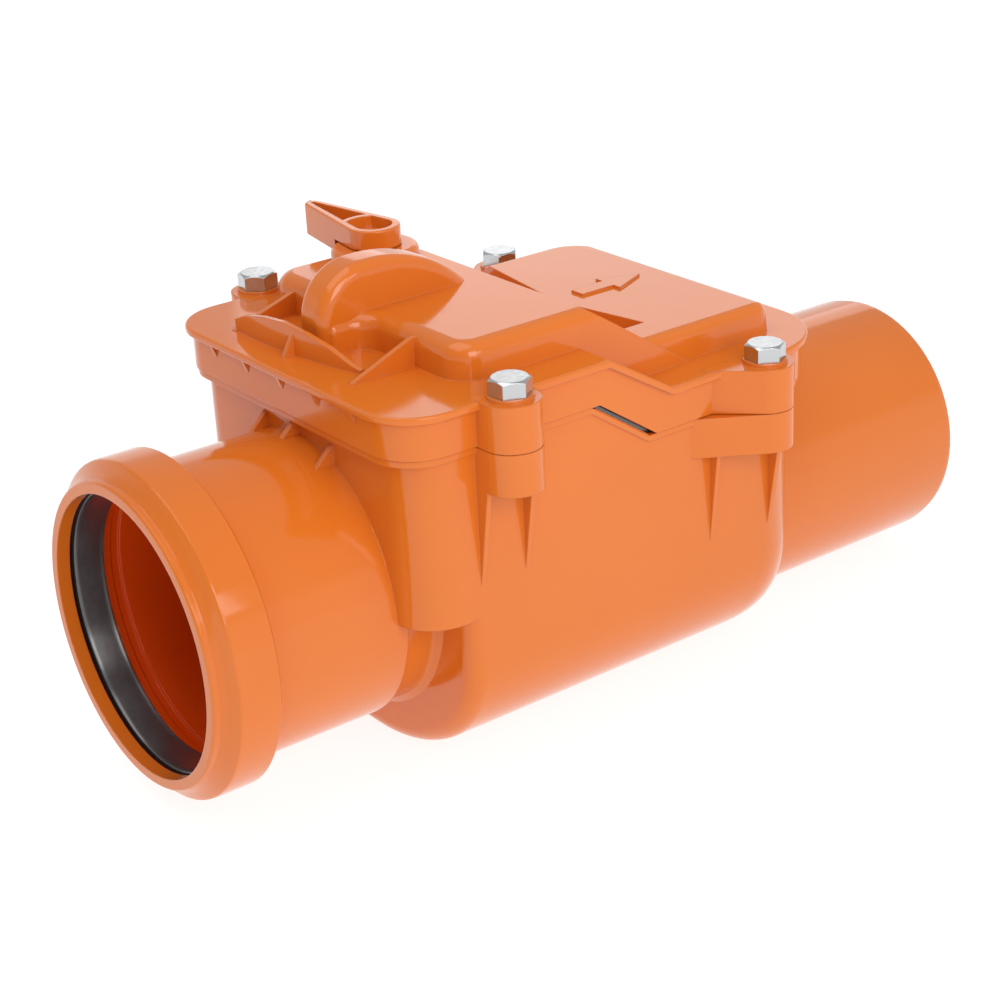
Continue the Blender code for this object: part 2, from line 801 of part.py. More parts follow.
def high_outline(pull, ledge):
    """The high platform in plan, wider on its far side, with a ledge beside the dome when asked."""
    x0 = DECK_START + pull
    near = -DECK_HALF + pull
    far = DECK_HALF + DECK_FAR - pull
    corner = max(DECK_CORNER - pull, OVER)
    points = [(DECK_JOIN - pull, near), (DECK_JOIN - pull, far)]
    points += arc(x0 + corner, far - corner, corner, 90, 180, 5)
    if ledge:
        inner = HORN_Y + DOME_HALF / 3
        front = LEDGE_X + pull
        small = max(LEDGE_CORNER - pull, OVER)
        side = DOME_Y0 - LEDGE
        points += [(x0, inner), (front, inner)]
        points += arc(front + small, side + pull + small, small, 180, 270, 3)
        points += arc(DECK_START - LEDGE_BEND, side - LEDGE_BEND, LEDGE_BEND + pull, 90, 0, 6)
    points += arc(x0 + corner, near + corner, corner, 180, 270, 5)
    return points


def ridge_cut(name, shift):
    """The room beyond the slope that joins the two platforms."""
    slope = (DECK_TOP - LOW_DECK_TOP) / (CHANNEL_START - RIDGE_X)
    length = math.hypot(1.0, slope)
    x0 = RIDGE_X - 0.03 - shift * slope / length
    z0 = DECK_TOP + 0.03 * slope - shift / length
    x1 = RIDGE_X + 0.12 - shift * slope / length
    z1 = DECK_TOP - 0.12 * slope - shift / length
    return outline(name, [(x0, z0), (x1, z1), (x1 + 0.05, z1), (x1 + 0.05, z0)], -0.12, 0.12, "XZ")


def decks(name, wall, base):
    """Both platforms together, moved in by a wall thickness for their hollow."""
    rings = []
    for z, pull in deck_levels(base, DECK_TOP - wall, DECK_ROUND - wall / 2, DECK_DRAFT):
        rings.append((z, high_outline(wall + pull, wall == 0.0)))
    high = cut(stacked(name, rings), ridge_cut("ridge", wall))
    rings = []
    top = LOW_DECK_TOP - wall
    for z, pull in deck_levels(base - WALL / 6, top, LOW_DECK_ROUND - wall / 2, DECK_DRAFT):
        rings.append((z, low_outline(wall + pull)))
    low = stacked("low_deck", rings)
    end = DECK_END - DECK_DRAFT / 2 - wall
    back = LOW_DECK_BACK_ROUND - wall / 2
    side_view = [(LOW_DECK_START - OVER, top + OVER), (LOW_DECK_START - OVER, base - OVER)]
    side_view += [(DECK_END + OVER, base - OVER), (DECK_END + OVER, top - 2 * back)]
    side_view += arc(end - back, top - back, back, 0, 85, 5) + [(end - back - OVER, top + OVER)]
    low = meet(low, outline("low_deck_side", side_view, -BODY_HALF, BODY_HALF, "XZ"))
    return join(high, low)


def dome_outline(wall, base):
    """The D shape of the dome seen from the side."""
    centre_x = DOME_X0 + DOME_FRONT_R
    points = [(DOME_X0 + wall, base)]
    points += arc(centre_x, DOME_TOP - DOME_FRONT_R, DOME_FRONT_R - wall, 180, 90, 8)
    points += arc(DOME_CREST_X, DOME_TOP - DOME_BACK_R, DOME_BACK_R - wall, 90, DOME_BACK_ANGLE, 8)
    points += [(points[-1][0], base)]
    return points


def cover():
    plate = outline("plate", rim_outline(LIP_OUT + SKIRT_OUT), 0.0, 0.13)
    plate = meet(plate, band("lip_band", plate_line(-LIP), plate_line(0.0)))
    plate = softened(plate, LIP_EDGE, 2)
    skirt = outline("skirt", rim_outline(SKIRT_OUT), 0.0, 0.13)
    skirt = meet(skirt, band("skirt_band", skirt_line(GAP / 2), plate_line(-LIP / 2)))
    body = join(plate, skirt)
    for number, x, side, chamfer, drop in boss_sites():
        low = PARTING - drop + GAP / 2
        high = PLATE_TOP - drop
        boss = outline("boss", boss_outline(x, side, COVER_WEB if chamfer else 0.0), low, high + GAP / 2)
        body = join(body, boss)
        collet = rod("collet", COLLET_R, (x, side * BOLT_Y, high - OVER), (x, side * BOLT_Y, high + COLLET), 20)
        body = join(body, collet)
    raised = decks("decks", 0.0, PLATE_TOP - STEP - PLATE)
    raised = meet(raised, band("over_plate", plate_line(-PLATE / 2), level_line(0.15)))
    body = join(body, raised)
    dome = outline("dome", dome_outline(0.0, PLATE_TOP - PLATE - DOME_EDGE), DOME_Y0, DOME_Y1, "XZ")
    dome = softened(dome, DOME_EDGE, 3, 50.0)
    body = join(body, dome)
    high = DECK_TOP + TURRET
    post = [(0.0, high)] + arc(TURRET_R - TURRET_EDGE, high - TURRET_EDGE, TURRET_EDGE, 90, 0, 3)
    post += [(TURRET_R, PLATE_TOP - PLATE / 2), (0.0, PLATE_TOP - PLATE / 2)]
    body = join(body, turned("turret", post, upright(LEVER_X, LEVER_Y), 40))
    room = outline("skirt_room", rim_outline(SKIRT_OUT - SKIRT), 0.0, 0.13)
    room = meet(room, band("room_band", skirt_line(SKIRT_FOOT), plate_line(-PLATE)))
    body = cut(body, room)
    foot = outline("foot_room", body_outline(WALL), 0.0, 0.13)
    foot = meet(foot, band("foot_band", level_line(0.01), skirt_line(SKIRT_FOOT + OVER)))
    body = cut(body, foot)
    deck_room = decks("deck_room", PLATE, PLATE_TOP - STEP - 2 * PLATE)
    body = cut(body, deck_room)
    dome_room = outline("dome_room", dome_outline(DOME_WALL, PLATE_TOP - 2 * PLATE),
                        DOME_Y0 + DOME_WALL, DOME_Y1 - DOME_WALL, "XZ")
    body = cut(body, dome_room)
    sleeve = rod("sleeve", SLEEVE_R, (LEVER_X, LEVER_Y, SLEEVE_END), (LEVER_X, LEVER_Y, DECK_TOP - PLATE / 2), 24)
    body = join(body, sleeve)
    side = CHANNEL_HALF + PLATE
    floor = box("channel_floor", CHANNEL_START - 1.2 * PLATE, CHANNEL_END + PLATE, -side, side,
                LOW_DECK_TOP - CHANNEL_DEPTH - PLATE, LOW_DECK_TOP - PLATE / 2)
    body = join(body, floor)
    grade = (DECK_TOP - LOW_DECK_TOP) / (CHANNEL_START - RIDGE_X)
    foot_x = CHANNEL_START + CHANNEL_DEPTH / grade
    groove = [(CHANNEL_START - 0.004 / grade, LOW_DECK_TOP + 0.004), (foot_x, LOW_DECK_TOP - CHANNEL_DEPTH),
              (CHANNEL_END, LOW_DECK_TOP - CHANNEL_DEPTH), (CHANNEL_END, LOW_DECK_TOP + 0.004)]
    groove = outline("channel", groove, -side, side, "XZ")
    plan = [(RIDGE_X, -CHANNEL_HALF), (CHANNEL_END, -CHANNEL_HALF), (CHANNEL_MIDDLE, 0.0),
            (CHANNEL_END, CHANNEL_HALF), (RIDGE_X, CHANNEL_HALF)]
    body = cut(body, meet(groove, outline("channel_plan", plan, 0.05, 0.11)))
    bore = rod("bore", SHAFT_R + RUN, (LEVER_X, LEVER_Y, 0.05), (LEVER_X, LEVER_Y, 0.12), 32)
    body = cut(body, bore)
    for number, x, side, chamfer, drop in boss_sites():
        body = cut(body, rod("hole", BOLT_R + GAP, (x, side * BOLT_Y, 0.02), (x, side * BOLT_Y, 0.12), SMALL))
    for y, rise in zip(WEB_Y, WEB_RISE):
        web = [(DECK_START + 0.003, PLATE_TOP - OVER), (WEB_TIP, PLATE_TOP - OVER), (WEB_TIP, PLATE_TOP + GAP),
               (DECK_START + 0.0005, PLATE_TOP + rise), (DECK_START + 0.003, PLATE_TOP + rise)]
        body = join(body, outline("web", web, y - WEB / 2, y + WEB / 2, "XZ"))
    body = join(body, crest())
    under = PLATE_TOP - LIP
    face = RIM_FRONT - SKIRT_OUT
    for y in TINY_Y:
        tip = face - LIP_OUT + 0.0008
        tiny = [(face + 0.0008, under + 0.0006), (face + 0.0008, under - TINY_DROP),
                (face - 0.0002, under - TINY_DROP), (tip, under - 0.0002), (tip, under + 0.0006)]
        body = join(body, outline("tiny", tiny, y - TINY_HALF, y + TINY_HALF, "XZ"))
    neck = ARROW_X + ARROW_SHAFT
    arrow = [(ARROW_X, ARROW_Y - ARROW_HALF), (neck, ARROW_Y - ARROW_HALF), (neck, ARROW_Y - ARROW_BARB),
             (neck + ARROW_HEAD, ARROW_Y), (neck, ARROW_Y + ARROW_BARB), (neck, ARROW_Y + ARROW_HALF),
             (ARROW_X, ARROW_Y + ARROW_HALF)]
    body = join(body, outline("arrow", arrow, LOW_DECK_TOP - OVER, LOW_DECK_TOP + ARROW_HEIGHT))
    return finish(body, "cover", "pvc_orange")


def crest():
    """The thin arched wall in front of the dome, with its small rib."""
    low = PLATE_TOP - OVER
    front = Vector((CREST_X + CREST_R, CREST_Y, 0.0))
    start = 180.0 - math.degrees(math.asin((WEB_Y[0] - CREST_Y) / CREST_R))
    end = 180.0 + math.degrees(math.asin((CREST_Y - WEB_Y[1] - 0.0060) / CREST_R))
    plan = arc(front.x, front.y, CREST_R, start, end, 10) + arc(front.x, front.y, CREST_R - WEB, end, start, 10)
    wall = outline("crest", plan, low, PLATE_TOP + 0.02)
    points = [(y, PLATE_TOP + rise) for y, rise in CREST_PROFILE]
    points = [(0.06, low)] + points + [(-0.06, low)]
    wall = meet(wall, outline("crest_top", points, 0.07, 0.12, "YZ"))
    top = PLATE_TOP + CREST_RIB_RISE
    rib = [(CREST_X + WEB + 0.0006, low), (CREST_X - 0.0030, low), (CREST_X - 0.0030, PLATE_TOP + 0.0004),
           (CREST_X + 0.0016, top), (CREST_X + WEB + 0.0006, top)]
    return join(wall, outline("crest_rib", rib, CREST_RIB_Y - WEB / 2, CREST_RIB_Y + WEB / 2, "XZ"))


def gasket():
    ring = outline("ring", body_outline(WALL - GASKET_W), 0.0, 0.12)
    lift = GAP / 2
    ring = meet(ring, band("ring_band", rim_line(-GASKET_SEAT + lift), skirt_line(-lift)))
    hole = outline("ring_hole", body_outline(WALL + GAP), -0.01, 0.13)
    ring = cut(ring, hole)
    return finish(ring, "cover_gasket", "rubber_black")


# Fasteners

def bolt(number, x, side, drop):
    y = side * BOLT_Y
    seat = PLATE_TOP - drop + COLLET + 0.00005
    head = hexagon("head", HEAD_FLATS, x, y, seat, seat + HEAD_HEIGHT, math.radians(HEAD_TURNS[number - 1]))
    corner = HEAD_FLATS / math.sqrt(3.0)
    cap = [(HEAD_FLATS / 2 * 0.93, HEAD_HEIGHT), (0.0, HEAD_HEIGHT), (0.0, -0.0010), (corner + 0.0010, -0.0010),
           (corner + 0.0010, HEAD_HEIGHT - 0.0016)]
    head = meet(head, turned("cap", cap, upright(x, y, seat), 24))
    shank = rod("shank", BOLT_R, (x, y, seat + 0.0010), (x, y, seat - BOLT_LENGTH), SMALL)
    return finish(join(head, shank), "cover_bolt_%d" % number, "zinc_steel")


def nut(number, x, side, drop):
    y = side * BOLT_Y
    low = PARTING - drop - BOSS_DEPTH
    body = hexagon("nut", HEAD_FLATS, x, y, low, low + NUT_HEIGHT - GAP)
    body = cut(body, rod("thread", BOLT_R + GAP, (x, y, low - OVER), (x, y, low + NUT_HEIGHT + OVER), SMALL))
    return finish(body, "cover_nut_%d" % number, "zinc_steel")


# Seals, seat and flap

def socket_seal():
    start = SEAL_START
    end = SEAL_START + SEAL_LENGTH
    outer = SEAL_GROOVE_R - GAP
    profile = [
        (outer, start + GAP),
        (SOCKET_R + 0.0012, start + GAP),
        (SOCKET_R - 0.0004, start + 0.0006),
        (SOCKET_R - 0.0010, start + 0.0020),
        (SEAL_LIP_R + 0.0006, end + 0.0005),
        (SEAL_LIP_R, end + 0.0022),
        (SEAL_LIP_R + 0.0010, end + 0.0022),
        (SOCKET_R - 0.0011, start + 0.0060),
        (SOCKET_R + 0.0006, start + 0.0066),
        (SOCKET_R + 0.0022, end - GAP),
        (outer, end - GAP),
    ]
    return finish(turned("seal", profile, along_x()), "socket_seal", "rubber_black")


def seat_ring():
    profile = [(SEAT_RING_R, -SEAT_RING), (SEAT_RING_R, -0.0006), (SEAT_RING_R - 0.0006, 0.0),
               (SEAT_BORE_R, 0.0), (SEAT_BORE_R, -SEAT_RING)]
    ring = turned("seat", profile, seat_frame())
    pivot = hinge()
    low = KNUCKLE_HALF + RUN
    foot = SEAT_RING_R - 0.55 * SEAT_LAND
    side_view = arc(HINGE_S, HINGE_N, KNUCKLE_R, 190, -10, 16)
    side_view += [(SEAT_RING_R + 0.0050, -SEAT_RING + 0.0006), (foot, -SEAT_RING + 0.0006), (foot, -0.0008),
                  (SEAT_RING_R - 0.0014, -0.0008)]
    for side in (-1, 1):
        ends = sorted((side * low, side * (low + LUG)))
        ring = join(ring, outline("lug", seat_points(side_view), ends[0], ends[1], "XZ"))
    hole = rod("hole", HINGE_PIN_R + RUN, (pivot.x, -0.04, pivot.z), (pivot.x, 0.04, pivot.z), SMALL)
    return finish(cut(ring, hole), "seat_frame", "abs_grey")


def seat_points(pairs):
    points = []
    for s, n in pairs:
        place = seat_point(s, n)
        points.append((place.x, place.z))
    return points


def flap():
    base = SEAL_T + GAP
    top = base + FLAP_PLATE
    profile = [(FLAP_R, top - 0.0010), (FLAP_R - 0.0010, top), (0.0, top), (0.0, base), (FLAP_R, base)]
    disc = turned("disc", profile[::-1], seat_frame())
    pivot = hinge()
    knuckle = rod("knuckle", KNUCKLE_R, (pivot.x, -KNUCKLE_HALF, pivot.z), (pivot.x, KNUCKLE_HALF, pivot.z), 24)
    arm = seat_points([(HINGE_S + 0.0010, HINGE_N + KNUCKLE_R * 0.95),
                       (HINGE_S - KNUCKLE_R * 0.6, HINGE_N - KNUCKLE_R * 0.7), (FLAP_R - 0.0120, base + 0.0008),
                       (FLAP_R / 3, base + 0.0008), (FLAP_R / 3, top + 0.0020), (FLAP_R - 0.0160, top + 0.0040)])
    disc = join(disc, knuckle, outline("arm", arm, -KNUCKLE_HALF + 0.0010, KNUCKLE_HALF - 0.0010, "XZ"))
    for side in (-1, 1):
        rib = seat_points([(FLAP_R / 2, top - OVER), (-0.7 * FLAP_R, top - OVER), (-0.7 * FLAP_R, top + 0.0006),
                           (FLAP_R / 2, top + 0.0030)])
        middle = side * FLAP_R * 0.42
        disc = join(disc, outline("rib", rib, middle - RIB / 2, middle + RIB / 2, "XZ"))
    direction = Vector((math.cos(HORN_ANGLE), 0.0, math.sin(HORN_ANGLE)))
    across = Vector((-math.sin(HORN_ANGLE), 0.0, math.cos(HORN_ANGLE)))
    horn_side = []
    for d, w in ((0.0010, 0.5), (HORN_LENGTH - HORN_T / 3, 0.5), (HORN_LENGTH, 0.30), (HORN_LENGTH, -0.30),
                 (HORN_LENGTH - HORN_T / 3, -0.5), (2 * HORN_T, -0.72), (0.0010, -0.72)):
        horn_side.append(pivot + direction * d + across * w * HORN_T)
    horn = outline("horn", [(p.x, p.z) for p in horn_side], HORN_Y - HORN_W / 2, HORN_Y + HORN_W / 2, "XZ")
    disc = join(disc, horn)
    disc = cut(disc, rod("hole", HINGE_PIN_R + RUN, (pivot.x, -0.04, pivot.z), (pivot.x, 0.04, pivot.z), SMALL))
    for place in screw_places():
        start = place + SEAT_OUT * (base - OVER)
        hole = rod("screw_hole", SCREW_R + GAP, start, place + SEAT_OUT * (base + 0.0042), 12)
        disc = cut(disc, hole)
    return finish(disc, "flap_plate", "abs_grey", pivot)


def screw_places():
    places = []
    for angle in (0, 120, 240):
        a = math.radians(angle)
        places.append(seat_point(-SCREW_PITCH_R * math.cos(a), 0.0, SCREW_PITCH_R * math.sin(a)))
    return places


def flap_seal():
    low = GAP
    high = SEAL_T
    profile = [(SEAL_OUTER_R, high), (SEAL_INNER_R, high), (SEAL_INNER_R, low + 0.0006),
               (SEAT_BORE_R + 0.0008, low + 0.0006), (SEAT_BORE_R + 0.0020, low), (SEAL_OUTER_R - 0.0010, low),
               (SEAL_OUTER_R, low + 0.0008)]
    return finish(turned("flap_seal", profile, seat_frame()), "flap_seal", "rubber_black", hinge())


def retainer():
    """A disc that clamps the inner edge of the seal with its rim."""
    hub = SEAL_INNER_R - GAP
    rim = SEAL_INNER_R + RETAINER_OVER
    profile = [(hub, SEAL_T), (0.0, SEAL_T), (0.0, -RETAINER_T), (rim - 0.0008, -RETAINER_T),
               (rim, -RETAINER_T + 0.0008), (rim, 0.0), (hub, 0.0)]
    disc = turned("retainer", profile, seat_frame())
    for place in screw_places():
        start = place + SEAT_OUT * (-RETAINER_T - OVER)
        hole = rod("screw_hole", SCREW_R + GAP, start, place + SEAT_OUT * (SEAL_T + OVER), 12)
        disc = cut(disc, hole)
    return finish(disc, "seal_retainer", "abs_grey", hinge())


def retainer_screw(number, place):
    low = -RETAINER_T - GAP
    shank = rod("shank", SCREW_R, place + SEAT_OUT * (low - 0.0005), place + SEAT_OUT * (SEAL_T + 0.0038), 12)
    head = rod("head", 2 * SCREW_R, place + SEAT_OUT * (low - 0.0019), place + SEAT_OUT * low, SMALL)
    return finish(join(head, shank), "retainer_screw_%d" % number, "zinc_steel", hinge())


def hinge_pin():
    pivot = hinge()
    end = KNUCKLE_HALF + RUN + LUG
    pin = rod("pin", HINGE_PIN_R, (pivot.x, -end - 0.0036, pivot.z), (pivot.x, end + 0.0004, pivot.z), SMALL)
    head = rod("head", HINGE_PIN_R + 0.0018, (pivot.x, end + GAP, pivot.z), (pivot.x, end + 0.0022, pivot.z), SMALL)
    return finish(join(pin, head), "hinge_pin", "zinc_steel")


def pin_clip():
    pivot = hinge()
    start = -(KNUCKLE_HALF + RUN + LUG + GAP)
    outer = HINGE_PIN_R + 0.0024
    inner = HINGE_PIN_R + GAP
    profile = [(outer, 0.0), (outer, 0.0012), (inner, 0.0012), (inner, 0.0)]
    turn = Matrix.Translation((pivot.x, start, pivot.z)) @ Matrix.Rotation(math.pi / 2, 4, "X")
    return finish(turned("clip", profile, turn, SMALL), "hinge_pin_clip", "zinc_steel")


# Lever

def lever_outline(inset=0.0):
    """A teardrop: a round big end on the shaft and a small round tip."""
    big = LEVER_R - inset
    small = max(LEVER_TIP_R - inset, 0.0008)
    lean = math.degrees(math.asin((LEVER_R - LEVER_TIP_R) / LEVER_REACH))
    points = arc(0.0, 0.0, big, 180 - lean, 360 + lean, 16)
    points += arc(0.0, LEVER_REACH, small, lean, 180 - lean, 5)
    return points


def lever():
    """The paddle hangs beside its collar, and its pockets are open above."""
    low = DECK_TOP + TURRET + LEVER_RISE
    high = low + LEVER_HEIGHT
    paddle = outline("paddle", lever_outline(), low - LEVER_DROP, high)
    paddle = softened(paddle, LEVER_EDGE, 2, 60.0)
    paddle = cut(paddle, rod("collar", TURRET_R + RUN + GAP, (0, 0, low - 2 * LEVER_DROP), (0, 0, low), 40))
    pocket = outline("pocket", lever_outline(LEVER_WALL), low + LEVER_WALL, high + OVER)
    bend = LEVER_R + LEVER_WALL / 3
    keep = [(bend, 0.0), (bend, 0.2), (bend + 0.8 * LEVER_WALL, 0.2), (bend + 0.8 * LEVER_WALL, 0.0)]
    paddle = cut(paddle, cut(pocket, turned("keep", keep, upright(), 32)))
    shaft = rod("shaft", SHAFT_R, (0, 0, FINGER_Z + FINGER_T + RUN), (0, 0, low + OVER), 24)
    square = box("square", -SQUARE, SQUARE, -SQUARE, SQUARE, FINGER_Z + OVER, FINGER_Z + FINGER_T + 2 * OVER)
    paddle = join(paddle, shaft, square)
    inner = SHAFT_R + RUN - 2 * GAP - ORING_T
    for height in oring_heights():
        half = ORING_T / 2 + GAP
        groove = [(SHAFT_R + OVER, height - half), (SHAFT_R + OVER, height + half), (inner, height + half),
                  (inner, height - half)]
        paddle = cut(paddle, turned("groove", groove, upright(), 24))
    pilot = rod("pilot", FINGER_SCREW_R + GAP, (0, 0, FINGER_Z - OVER), (0, 0, FINGER_Z + 0.0130), 12)
    paddle = cut(paddle, pilot)
    paddle.matrix_world = upright(LEVER_X, LEVER_Y)
    return finish(baked(paddle), "lever", "pvc_orange", (LEVER_X, LEVER_Y, low))


def oring_heights():
    first = SLEEVE_END + 0.0045
    return [first, first + 0.0065]


def o_ring(number, height):
    half = ORING_T / 2
    centre = SHAFT_R + RUN - GAP - half
    profile = []
    for i in range(6):
        a = -2.0 * math.pi * i / 6
        profile.append((centre + half * math.cos(a), height + half * math.sin(a)))
    ring = turned("ring", profile, upright(LEVER_X, LEVER_Y), 20)
    return finish(ring, "shaft_o_ring_%d" % number, "rubber_black", (LEVER_X, LEVER_Y, height))


def finger():
    low = FINGER_Z
    high = FINGER_Z + FINGER_T
    half = FINGER_W / 2
    open_angle = math.degrees(math.asin(half / FINGER_HUB_R)) + 6.0
    points = arc(0.0, 0.0, FINGER_HUB_R, open_angle, 360.0 - open_angle, 16)
    points += arc(FINGER_REACH, 0.0, half, -90, 90, 8)
    arm = outline("arm", points, low, high)
    arm.matrix_world = Matrix.Rotation(FINGER_ANGLE, 4, "Z")
    arm = baked(arm)
    side = SQUARE + GAP
    socket = box("socket", -side, side, -side, side, low + OVER - GAP, high + OVER)
    arm = cut(arm, socket, rod("hole", FINGER_SCREW_R + GAP, (0, 0, low - OVER), (0, 0, high), 12))
    arm.matrix_world = upright(LEVER_X, LEVER_Y)
    return finish(baked(arm), "lock_finger", "abs_grey", (LEVER_X, LEVER_Y, low))


def finger_screw():
    low = FINGER_Z
    shank = rod("shank", FINGER_SCREW_R, (LEVER_X, LEVER_Y, low - OVER), (LEVER_X, LEVER_Y, low + 0.0110), 12)
    head = rod("head", 2.2 * FINGER_SCREW_R, (LEVER_X, LEVER_Y, low - 0.0026), (LEVER_X, LEVER_Y, low - GAP), 16)
    return finish(join(head, shank), "finger_screw", "zinc_steel", (LEVER_X, LEVER_Y, low))


def build():
    clear_scene()
    pieces = [housing(), socket_seal(), cover(), gasket(), seat_ring()]
    for number, x, side, chamfer, drop in boss_sites():
        pieces.append(bolt(number, x, side, drop))
        pieces.append(nut(number, x, side, drop))
    pieces += [hinge_pin(), pin_clip(), flap(), flap_seal(), retainer()]
    for i, place in enumerate(screw_places()):
        pieces.append(retainer_screw(i + 1, place))
    pieces += [lever(), finger(), finger_screw()]
    for i, height in enumerate(oring_heights()):
        pieces.append(o_ring(i + 1, height))
    group = bpy.data.collections.new("backwater_valve")
    bpy.context.scene.collection.children.link(group)
    origin = bpy.data.objects.new("valve", None)
    origin.location = (-TOTAL_LENGTH / 2, 0.0, TROUGH_DEPTH)
    group.objects.link(origin)
    for piece in pieces:
        bpy.context.scene.collection.objects.unlink(piece)
        group.objects.link(piece)
        piece.parent = origin


build()
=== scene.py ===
"""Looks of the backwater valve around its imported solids."""
import json
import math

import bpy
import bmesh
from mathutils import Matrix, Vector

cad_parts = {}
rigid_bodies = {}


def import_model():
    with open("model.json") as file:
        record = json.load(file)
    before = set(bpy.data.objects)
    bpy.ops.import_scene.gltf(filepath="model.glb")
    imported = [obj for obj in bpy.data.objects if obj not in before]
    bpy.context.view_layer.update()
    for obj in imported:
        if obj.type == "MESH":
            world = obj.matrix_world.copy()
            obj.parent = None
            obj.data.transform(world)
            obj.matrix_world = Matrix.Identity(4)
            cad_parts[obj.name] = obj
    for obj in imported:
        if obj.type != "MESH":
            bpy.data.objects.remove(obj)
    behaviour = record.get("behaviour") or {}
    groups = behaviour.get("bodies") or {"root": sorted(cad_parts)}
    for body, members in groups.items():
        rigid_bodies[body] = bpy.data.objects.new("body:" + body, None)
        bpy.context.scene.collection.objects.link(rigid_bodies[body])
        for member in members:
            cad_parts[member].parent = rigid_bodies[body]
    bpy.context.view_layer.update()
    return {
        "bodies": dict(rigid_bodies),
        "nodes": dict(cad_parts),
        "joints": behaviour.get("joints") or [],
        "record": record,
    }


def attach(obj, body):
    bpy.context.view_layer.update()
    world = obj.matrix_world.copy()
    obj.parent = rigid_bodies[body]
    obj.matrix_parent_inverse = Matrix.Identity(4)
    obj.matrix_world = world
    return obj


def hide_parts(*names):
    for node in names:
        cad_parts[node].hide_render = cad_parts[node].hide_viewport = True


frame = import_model()

LENGTH = 0.3892
RISE = 0.0750


def place(x, y, z):
    """A point given by its station, offset and height from the socket's axis."""
    return Vector((x - LENGTH / 2, y, z + RISE))


# Camera

AZIMUTH = math.radians(-36.37)
ELEVATION = math.radians(23.96)
ROLL = math.radians(-2.92)
DISTANCE = 0.72402
AIM = place(0.07978, -0.12822, 0.07317)
LENS = 78.077


def make_camera():
    back = Vector((math.sin(AZIMUTH) * math.cos(ELEVATION), -math.cos(AZIMUTH) * math.cos(ELEVATION),
                   math.sin(ELEVATION)))
    ahead = -back
    right = ahead.cross(Vector((0.0, 0.0, 1.0))).normalized()
    up = right.cross(ahead)
    across = right * math.cos(ROLL) + up * math.sin(ROLL)
    top = up * math.cos(ROLL) - right * math.sin(ROLL)
    turn = Matrix((across, top, back)).transposed().to_4x4()
    data = bpy.data.cameras.new("camera")
    data.lens = LENS
    data.sensor_width = 36.0
    data.clip_start = 0.01
    data.clip_end = 20.0
    camera = bpy.data.objects.new("camera", data)
    camera.matrix_world = Matrix.Translation(AIM + back * DISTANCE) @ turn
    bpy.context.scene.collection.objects.link(camera)
    bpy.context.scene.camera = camera


# Materials

class Nodes:
    """A short way to write a material's nodes."""

    def __init__(self, name):
        self.material = bpy.data.materials.new(name)
        self.material.use_nodes = True
        self.tree = self.material.node_tree
        self.shader = self.tree.nodes["Principled BSDF"]

    def add(self, kind, **inputs):
        node = self.tree.nodes.new(kind)
        for key, value in inputs.items():
            self.feed(node, key, value)
        return node

    def feed(self, node, key, value):
        socket = node.inputs[key.replace("_", " ")] if isinstance(key, str) else node.inputs[key]
        if isinstance(value, bpy.types.NodeSocket):
            self.tree.links.new(value, socket)
        else:
            socket.default_value = value

    def set(self, key, value):
        self.feed(self.shader, key, value)


def noise(nodes, point, scale, detail=2.0, rough=0.5):
    made = nodes.add("ShaderNodeTexNoise", Vector=point, Scale=scale, Detail=detail, Roughness=rough)
    return made.outputs["Fac"]


def ramp(nodes, value, low, high, bottom, top):
    made = nodes.add("ShaderNodeMapRange", Value=value)
    made.inputs["From Min"].default_value = low
    made.inputs["From Max"].default_value = high
    made.inputs["To Min"].default_value = bottom
    made.inputs["To Max"].default_value = top
    return made.outputs["Result"]


def soft_edge(nodes, radius):
    made = nodes.add("ShaderNodeBevel", Radius=radius)
    made.samples = 6
    return made.outputs["Normal"]


def vector_math(nodes, operation, first, second=None):
    made = nodes.add("ShaderNodeVectorMath")
    made.operation = operation
    nodes.tree.links.new(first, made.inputs[0])
    if second is not None:
        made.inputs[1].default_value = tuple(second)
    return made.outputs["Value" if operation == "LENGTH" else "Vector"]


def product(nodes, first, second):
    made = nodes.add("ShaderNodeMath")
    made.operation = "MULTIPLY"
    nodes.tree.links.new(first, made.inputs[0])
    nodes.tree.links.new(second, made.inputs[1])
    return made.outputs["Value"]


# Painted shade: where the wall of the socket's bore lies, the colour is multiplied darker and redder to stand in
# for the shade inside it.
PAINTED_SHADE_RADIUS = (0.0566, 0.0572)
PAINTED_SHADE_START = (0.0150, 0.0170)
PAINTED_SHADE_END = (0.0560, 0.0720)
PAINTED_BORE_SHADE_TINT = (1.08, 0.42, 0.20)


def painted_bore_shade(nodes, point):
    """Painted shade mask: one on the wall of the socket's bore, which is painted darker and redder for the shade
    there, where light comes only off more of the same plastic.
    """
    away = vector_math(nodes, "SUBTRACT", point, place(0.0, 0.0, 0.0))
    radius = vector_math(nodes, "LENGTH", vector_math(nodes, "MULTIPLY", away, (0.0, 1.0, 1.0)))
    along = nodes.add("ShaderNodeSeparateXYZ", Vector=away)
    near = ramp(nodes, radius, *PAINTED_SHADE_RADIUS, 1.0, 0.0)
    past = ramp(nodes, along.outputs["X"], *PAINTED_SHADE_START, 0.0, 1.0)
    short = ramp(nodes, along.outputs["X"], *PAINTED_SHADE_END, 1.0, 0.0)
    return product(nodes, product(nodes, near, past), short)


